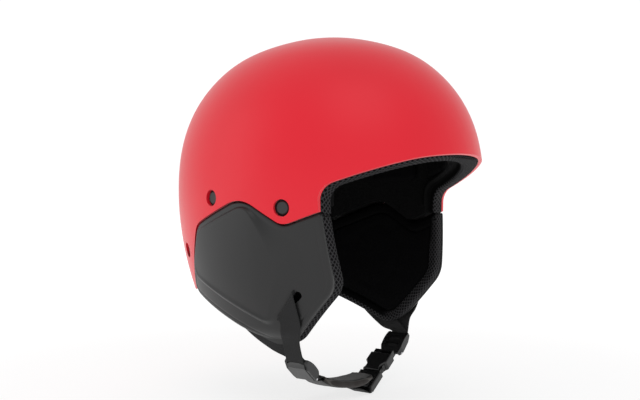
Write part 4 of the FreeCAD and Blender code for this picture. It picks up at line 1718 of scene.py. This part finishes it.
@dataclass(frozen=True)
class Straps:
    """All webbing of the helmet."""

    hang: Hang
    material: bpy.types.Material
    front_anchor: Flat = (-34.3, -18.0)
    slot: Flat = (-30.4, -89.3)
    slot_half: Flat = (7.2, -9.3)
    slot_spread: float = 1.16
    rear_anchor: Flat = (84.1, -53.0)
    rear_leave: Flat = (3.4, -113.7)
    rail_play: float = 1.0

    @staticmethod
    def _mirrored(stations: List[Station], sign: int) -> List[Station]:
        """Stations for one side."""
        flip = np.array([-sign, 1, 1])
        return [(middle * flip, half * flip) for middle, half in stations]

    def _across(self, y: float, z: float, lean: float, lift: float) -> Station:
        """Station of the front strap on the ear pad's outer face.

        Args:
            y: Position along the helmet.
            z: Height.
            lean: Z of the half-width vector.
            lift: Extra depth, below 0 for a strap that stands off.

        Returns:
            The station.
        """
        h = self.hang
        return h.on_layer((y, z), (h.web_width / 2, lean), lift - h.gap - h.web / 2, True)

    def front(self) -> List[Station]:
        """Right front strap from its anchor, out of the slot and down to the divider.

        Returns:
            The stations.
        """
        h = self.hang
        inset, rest = h.shell + h.gap + h.web / 2, -h.gap - h.web / 2
        anchor, slot, skew = (np.array(pair) for pair in (self.front_anchor, self.slot, self.slot_half))
        run = (slot - anchor) / np.linalg.norm(slot - anchor)
        across = np.array([-run[1], run[0]])
        side = across * h.web_width / 2
        if side @ skew < 0:
            side = -side
        stations = [h.on_layer(anchor + run * k, side, inset) for k in (-6, 20, 40)]
        stations.append(h.on_layer(slot + (0, 4.5), skew, inset))
        stations.append(h.on_layer(slot + (0, 1.5), skew, inset - 1.2))
        spread = skew * self.slot_spread
        stations.append(h.on_layer(slot + (0.2, -0.2), spread, -0.2, True))
        stations.append(h.on_layer(slot + (0.4, -1.4), spread, rest - 0.8, True))
        stations.append(self._across(-31.2, -97.0, -4.5, -0.6))
        stations.append(self._across(-31.4, -104.0, -1.0, -0.4))
        stations.append(self._across(-29.6, -111.0, 0, -0.3))
        stations.append((np.array([-84.6, h.divider[1], -119.5]), np.array([0, h.web_width / 2, 0])))
        return stations + h.flat_run(1, 1.0)

    def rear(self) -> List[Station]:
        """Right rear strap from its anchor, out of the pad's foot and forward to the divider.

        Returns:
            The stations.
        """
        h = self.hang
        inset = h.shell + h.gap + h.web / 2
        anchor, leave = np.array(self.rear_anchor), np.array(self.rear_leave)
        run = (leave - anchor) / np.linalg.norm(leave - anchor)
        half = np.array([run[1], -run[0]]) * h.web_width / 2
        length = np.linalg.norm(leave - anchor)
        stations = [h.on_layer(anchor + run * k, half, inset) for k in (-6, 18, 40, 62, 80, length - 3)]
        stations.append(h.on_layer((-5.3, -118.7), (-3.3, 7.3), inset))
        stations.append((np.array([-79.6, -15.8, -125.2]), np.array([-0.8, -6.6, 4.2])))
        return stations + h.flat_run(0, -1.0)

    def _level(self, name: str, points: List[np.ndarray]) -> bpy.types.Object:
        """Webbing that lies level from front to rear, through points."""
        half = np.array([0, (self.hang.web_width - self.rail_play) / 2, 0])
        return Tape(name).build([(point, half) for point in points], self.material)

    def build(self) -> None:
        """Make every strap."""
        h = self.hang
        for side in Side:
            for run, route in (("front", self.front()), ("rear", self.rear())):
                stations = self._mirrored(route, side.value)
                made = Tape(f"{run}_strap_{side.tag}").build(stations, self.material)
                Forge.place(made, "helmet", "webbing_black", f"strap_{run}_{side.tag}")
        over = h.socket_height / 2 - h.bar_drop + h.gap + h.web / 2
        points = h.divider_exit(1)
        points += [h.buckle_point(-1.4, over), h.buckle_point(1.2, over)]
        points += [h.buckle_point(3.2, over - 1.8), h.buckle_point(3.3, -1.0)]
        Forge.place(self._level("buckle_webbing", points), "helmet", "webbing_black", "buckle_web")
        under = -h.plug_height / 2 - h.gap - h.web / 2
        points = h.divider_exit(-1) + h.chin_points()[1:4]
        points += [h.below(-3.0, -165.0), h.below(5.0, -166.6)]
        points += [h.buckle_point(h.plug_to + 1.0, under - 0.4), h.buckle_point(h.plug_to - 3.0, under)]
        points += [h.buckle_point(h.plug_to - 3.7, -2.4), h.buckle_point(h.plug_to - 3.7, 1.5)]
        made = self._level("chin_webbing", points)
        tuple(points[2] * MM)
        tuple(points[4] * MM)
        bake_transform(made)
        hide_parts("chin_web")
        points = [h.buckle_point(h.plug_to - 10.4, 0.0), h.buckle_point(h.plug_to - 10.3, 2.6)]
        points += [h.buckle_point(h.plug_to - 8.0, 4.5), h.buckle_point(h.plug_to - 1.0, 4.6)]
        points += [h.below(4.0, -170.2), h.below(-5.0, -167.4)]
        Forge.place(self._level("webbing_tail", points), "chin_half", "webbing_black", "chin_web_tail")


@dataclass(frozen=True)
class ChinSleeve:
    """Padded sleeve round the chin webbing, with a bound edge and an open pocket end."""

    width: float = 26.0
    thick: float = 6.4
    end_narrow: float = 2.0
    end_thin: float = 0.6
    full_at: float = 0.7
    hem: float = 3.2
    seam_in: float = 3.0
    stitch_in: float = 4.6
    columns: int = 41
    mouth: Tuple[Flat, ...] = ((-0.6, 0.86), (0.2, 0.62), (2.0, 0.5), (6.0, 0.45))
    tip: Flat = (0.8, 0.45)

    def build(self, hang: Hang, material: bpy.types.Material) -> None:
        """Make the sleeve.

        Args:
            hang: Places of the straps.
            material: Sleeve fabric.
        """
        level = np.array([0.0, 1.0, 0.0])
        line = flowing(np.array([np.concatenate([p, level]) for p in hang.chin_points()]), 0.8)
        middle = line[:, :3]
        tangent = np.gradient(middle, axis=0)
        rise = np.cross(tangent, level)
        rise /= np.linalg.norm(rise, axis=1, keepdims=True)
        count = len(middle)
        share = np.linspace(0, 1, count)
        across = np.concatenate([np.linspace(-1, 1, self.columns), np.linspace(1, -1, self.columns)[1:-1]])
        top = np.concatenate([np.ones(self.columns), -np.ones(self.columns - 2)])
        swell = np.sin(math.pi * share)
        full = smooth(swell, 0, self.full_at)
        half = self.width / 2 - self.end_narrow + self.end_narrow * full
        tall = self.thick / 2 - self.end_thin + self.end_thin * full
        rows, uv = [], []
        run = travelled(middle)
        for i in range(count):
            edge = (1 - np.abs(across)) * half[i]
            sewn = 0.7 * bell(edge - self.seam_in, 0.55) + 0.35 * bell(edge - self.stitch_in, 0.45)
            crown = tall[i] * rounding(edge / self.hem) * (0.86 + 0.14 * (1 - across**2)) - sewn
            points = middle[i] + level * (across * half[i])[:, None]
            rows.append(points + rise[i] * (top * crown)[:, None])
            uv.append(np.stack([np.full(len(across), run[i]), across * half[i]], -1))
        grid = np.array(rows)
        flat = grid.reshape(-1, 3)
        inner = np.repeat(np.minimum(share, 1 - share), len(across))
        wave = 0.16 * ripple(flat, 13, 5) * smooth(inner, 0, 0.05)
        centre = np.repeat(middle, len(across), axis=0)
        outward = flat - centre
        outward /= np.clip(np.linalg.norm(outward, axis=1, keepdims=True), 1e-6, None)
        grid = (flat + outward * wave[:, None]).reshape(grid.shape)
        forward = tangent / np.linalg.norm(tangent, axis=1, keepdims=True)
        mouth = []
        for k, (into, shrink) in enumerate(self.mouth):
            shape = (grid[0] - middle[0]) * np.array([1, 0.92 if k else 0.97, 1])
            flatter = shape - rise[0] * (shape @ rise[0])[:, None] * (1 - shrink)
            mouth.append(middle[0] + flatter + forward[0] * into)
        tip = []
        for k, shrink in enumerate(self.tip):
            shape = grid[-1] - middle[-1]
            tip.append(middle[-1] + shape * shrink + forward[-1] * (0.6 + 0.2 * k))
        whole = np.concatenate([np.array(mouth[::-1]), grid, np.array(tip)])
        ends = [uv[0]] * len(mouth) + uv + [uv[-1]] * len(tip)
        made = Forge.grid("chin_sleeve", whole, False, True, material, np.array(ends), caps=True)
        Forge.place(made, "chin_half", "chin_pad_fabric", "chin_pad", fill=0.6)


# --------------------------------------------------------------------------
# Rigid pieces, studio and main
# --------------------------------------------------------------------------


class Hardware:
    """Materials and softened edges of the rigid CAD pieces."""

    SOFTENED = {
        "outer_shell": 0.5,
        "anchor_screws": 0.25,
        "divider_frame": 0.35,
        "divider_lever": 0.35,
        "buckle_socket": 0.4,
        "buckle_plug": 0.4,
        "latch_arm": 0.3,
        "clip_base": 0.4,
        "clip_arm": 0.4,
    }

    @classmethod
    def dress(cls, nodes: Dict[str, bpy.types.Object], finishes: Dict[str, bpy.types.Material]) -> None:
        """Give each rigid node its material.

        Args:
            nodes: CAD nodes by name.
            finishes: Materials by name.
        """
        pairs = {
            "outer_shell": "paint",
            "anchor_screws": "anchor",
            "anchor_nuts": "steel",
            "eps_liner": "foam",
            "ear_tongue": "plastic",
            "divider_frame": "plastic",
            "divider_lever": "lever",
            "divider_pins": "steel",
            "buckle_socket": "plastic",
            "buckle_plug": "plastic",
            "latch_arm": "plastic",
            "pad_dots": "plastic",
            "clip_base": "plastic",
            "clip_arm": "plastic",
            "clip_pin": "steel",
        }
        for name, node in nodes.items():
            for start, finish in pairs.items():
                if name.startswith(start):
                    for place in node.material_slots:
                        place.material = finishes[finish]
            for start, width in cls.SOFTENED.items():
                if name.startswith(start):
                    Shop.soften(node, width)


@dataclass(frozen=True)
class Studio:
    """Camera, soft lights and a white floor."""

    turn: float = -54.99
    rise: float = -1.61
    distance: float = 665.6
    lens: float = 43.31
    shift: Flat = (-0.01156, -0.01984)
    sensor: float = 36.0
    clip_end: float = 50.0
    floor: float = -176.2
    floor_reach: float = 6.0
    floor_dark: Colour = (0.31, 0.31, 0.31)
    floor_pale: Colour = (0.315, 0.315, 0.315)
    painted_shadow_glow: Colour = (0.74, 0.74, 0.74)
    glow_far: Colour = (1.0, 1.0, 1.0)
    # inner and outer radius of the painted shadow on the floor, in millimetres
    shadow: Flat = (260.0, 1100.0)
    world: float = 0.72
    backdrop: float = 1.05

    def _camera(self) -> None:
        """Set the camera."""
        turn, rise = math.radians(self.turn), math.radians(self.rise)
        back = Vector((math.sin(turn) * math.cos(rise), -math.cos(turn) * math.cos(rise), math.sin(rise)))
        data = bpy.data.cameras.new("view")
        data.lens = self.lens
        data.sensor_width = self.sensor
        data.shift_x, data.shift_y = self.shift
        data.clip_end = self.clip_end
        camera = bpy.data.objects.new("view", data)
        camera.location = back * self.distance * MM
        camera.rotation_euler = (-back).to_track_quat("-Z", "Y").to_euler()
        bpy.context.scene.collection.objects.link(camera)
        bpy.context.scene.camera = camera

    @staticmethod
    def _softbox(name: str, place: Tuple[float, float, float], size: Flat, watts: float) -> None:
        """Add a rectangular light aimed at the helmet.

        Args:
            name: Light name.
            place: Position in metres.
            size: Width and height in metres.
            watts: Power.
        """
        data = bpy.data.lights.new(name, "AREA")
        data.shape = "RECTANGLE"
        data.size, data.size_y = size
        data.energy = watts
        lamp = bpy.data.objects.new(name, data)
        lamp.location = place
        lamp.rotation_euler = (-Vector(place)).to_track_quat("-Z", "Y").to_euler()
        bpy.context.scene.collection.objects.link(lamp)

    def _floor(self) -> None:
        """Lay a white floor whose glow is dimmed only round the helmet, a painted shadow."""
        mesh = bpy.data.meshes.new("floor")
        turns = ((-1, -1), (1, -1), (1, 1), (-1, 1))
        corners = [(x * self.floor_reach, y * self.floor_reach, self.floor * MM) for x, y in turns]
        mesh.from_pydata(corners, [], [(0, 1, 2, 3)])
        s = Shader("floor_white")
        x, y, _ = s.axes()
        # painted shadow: the floor's glow fades to grey near the helmet
        away = ((x * x + y * y) ** 0.5).smooth(*self.shadow)
        material = s.finish(
            Base_Color=s.blend(s.noise(2, 2), self.floor_dark, self.floor_pale),
            Roughness=0.9,
            Specular_IOR_Level=0.0,
            Emission_Color=s.blend(away, self.painted_shadow_glow, self.glow_far),
            Emission_Strength=1.0,
        )
        mesh.materials.append(material)
        floor = bpy.data.objects.new("floor", mesh)
        bpy.context.scene.collection.objects.link(floor)

    def build(self) -> None:
        """Set up the studio."""
        scene = bpy.context.scene
        scene.view_settings.view_transform = "Standard"
        world = bpy.data.worlds.new("studio")
        scene.world = world
        world.use_nodes = True
        nodes = Nodes(world.node_tree)
        white = (1, 1, 1, 1)
        light = nodes.node("ShaderNodeBackground", {}, {"Color": white, "Strength": self.world})
        seen = nodes.node("ShaderNodeBackground", {}, {"Color": white, "Strength": self.backdrop})
        straight = nodes.node("ShaderNodeLightPath", {}, {}, "Is Camera Ray")
        mix = nodes.node("ShaderNodeMixShader", {}, {0: straight, 1: light, 2: seen})
        nodes.node("ShaderNodeOutputWorld", {}, {"Surface": mix})
        self._camera()
        self._softbox("key", (-1.0, -0.9, 1.6), (1.4, 1.4), 5.0)
        self._softbox("rim", (-1.5, 1.5, 0.6), (1.0, 1.6), 4.0)
        self._floor()


def main() -> None:
    """Dress the helmet and set the studio."""
    finishes = {
        "paint": Paint().material(),
        "plastic": Moulded().material(),
        # lighter grey than the other moulded plastic: painted highlight for the face of the divider levers
        "lever": Moulded("lever_painted_highlight", (0.036, 0.036, 0.0365), 0.44).material(),
        "anchor": Moulded("anchor_cap", (0.019, 0.0194, 0.020), 0.55, 0.012).material(),
        "cover": SoftTouch().material(),
        "brow_mesh": Mesh("brow_mesh", brow_inner_shade).material(),
        "ear_mesh": Mesh("ear_mesh", ear_lining).material(),
        "fleece": Fleece().material(),
        "sleeve": Bound().material(),
        "webbing": Webbing().material(),
        "foam": BeadFoam().material(),
        "steel": Steel().material(),
    }
    Hardware.dress(frame["nodes"], finishes)
    for side in Side:
        EarPad(side).build(finishes)
    Forge.place(BrowTrim().build(finishes["brow_mesh"]), "helmet", "mesh_black", "brow_edging", fill=0.8)
    Lining.build(finishes["fleece"])
    hang = Hang()
    Straps(hang, finishes["webbing"]).build()
    ChinSleeve().build(hang, finishes["sleeve"])
    Studio().build()


if __name__ == "__main__":
    main()
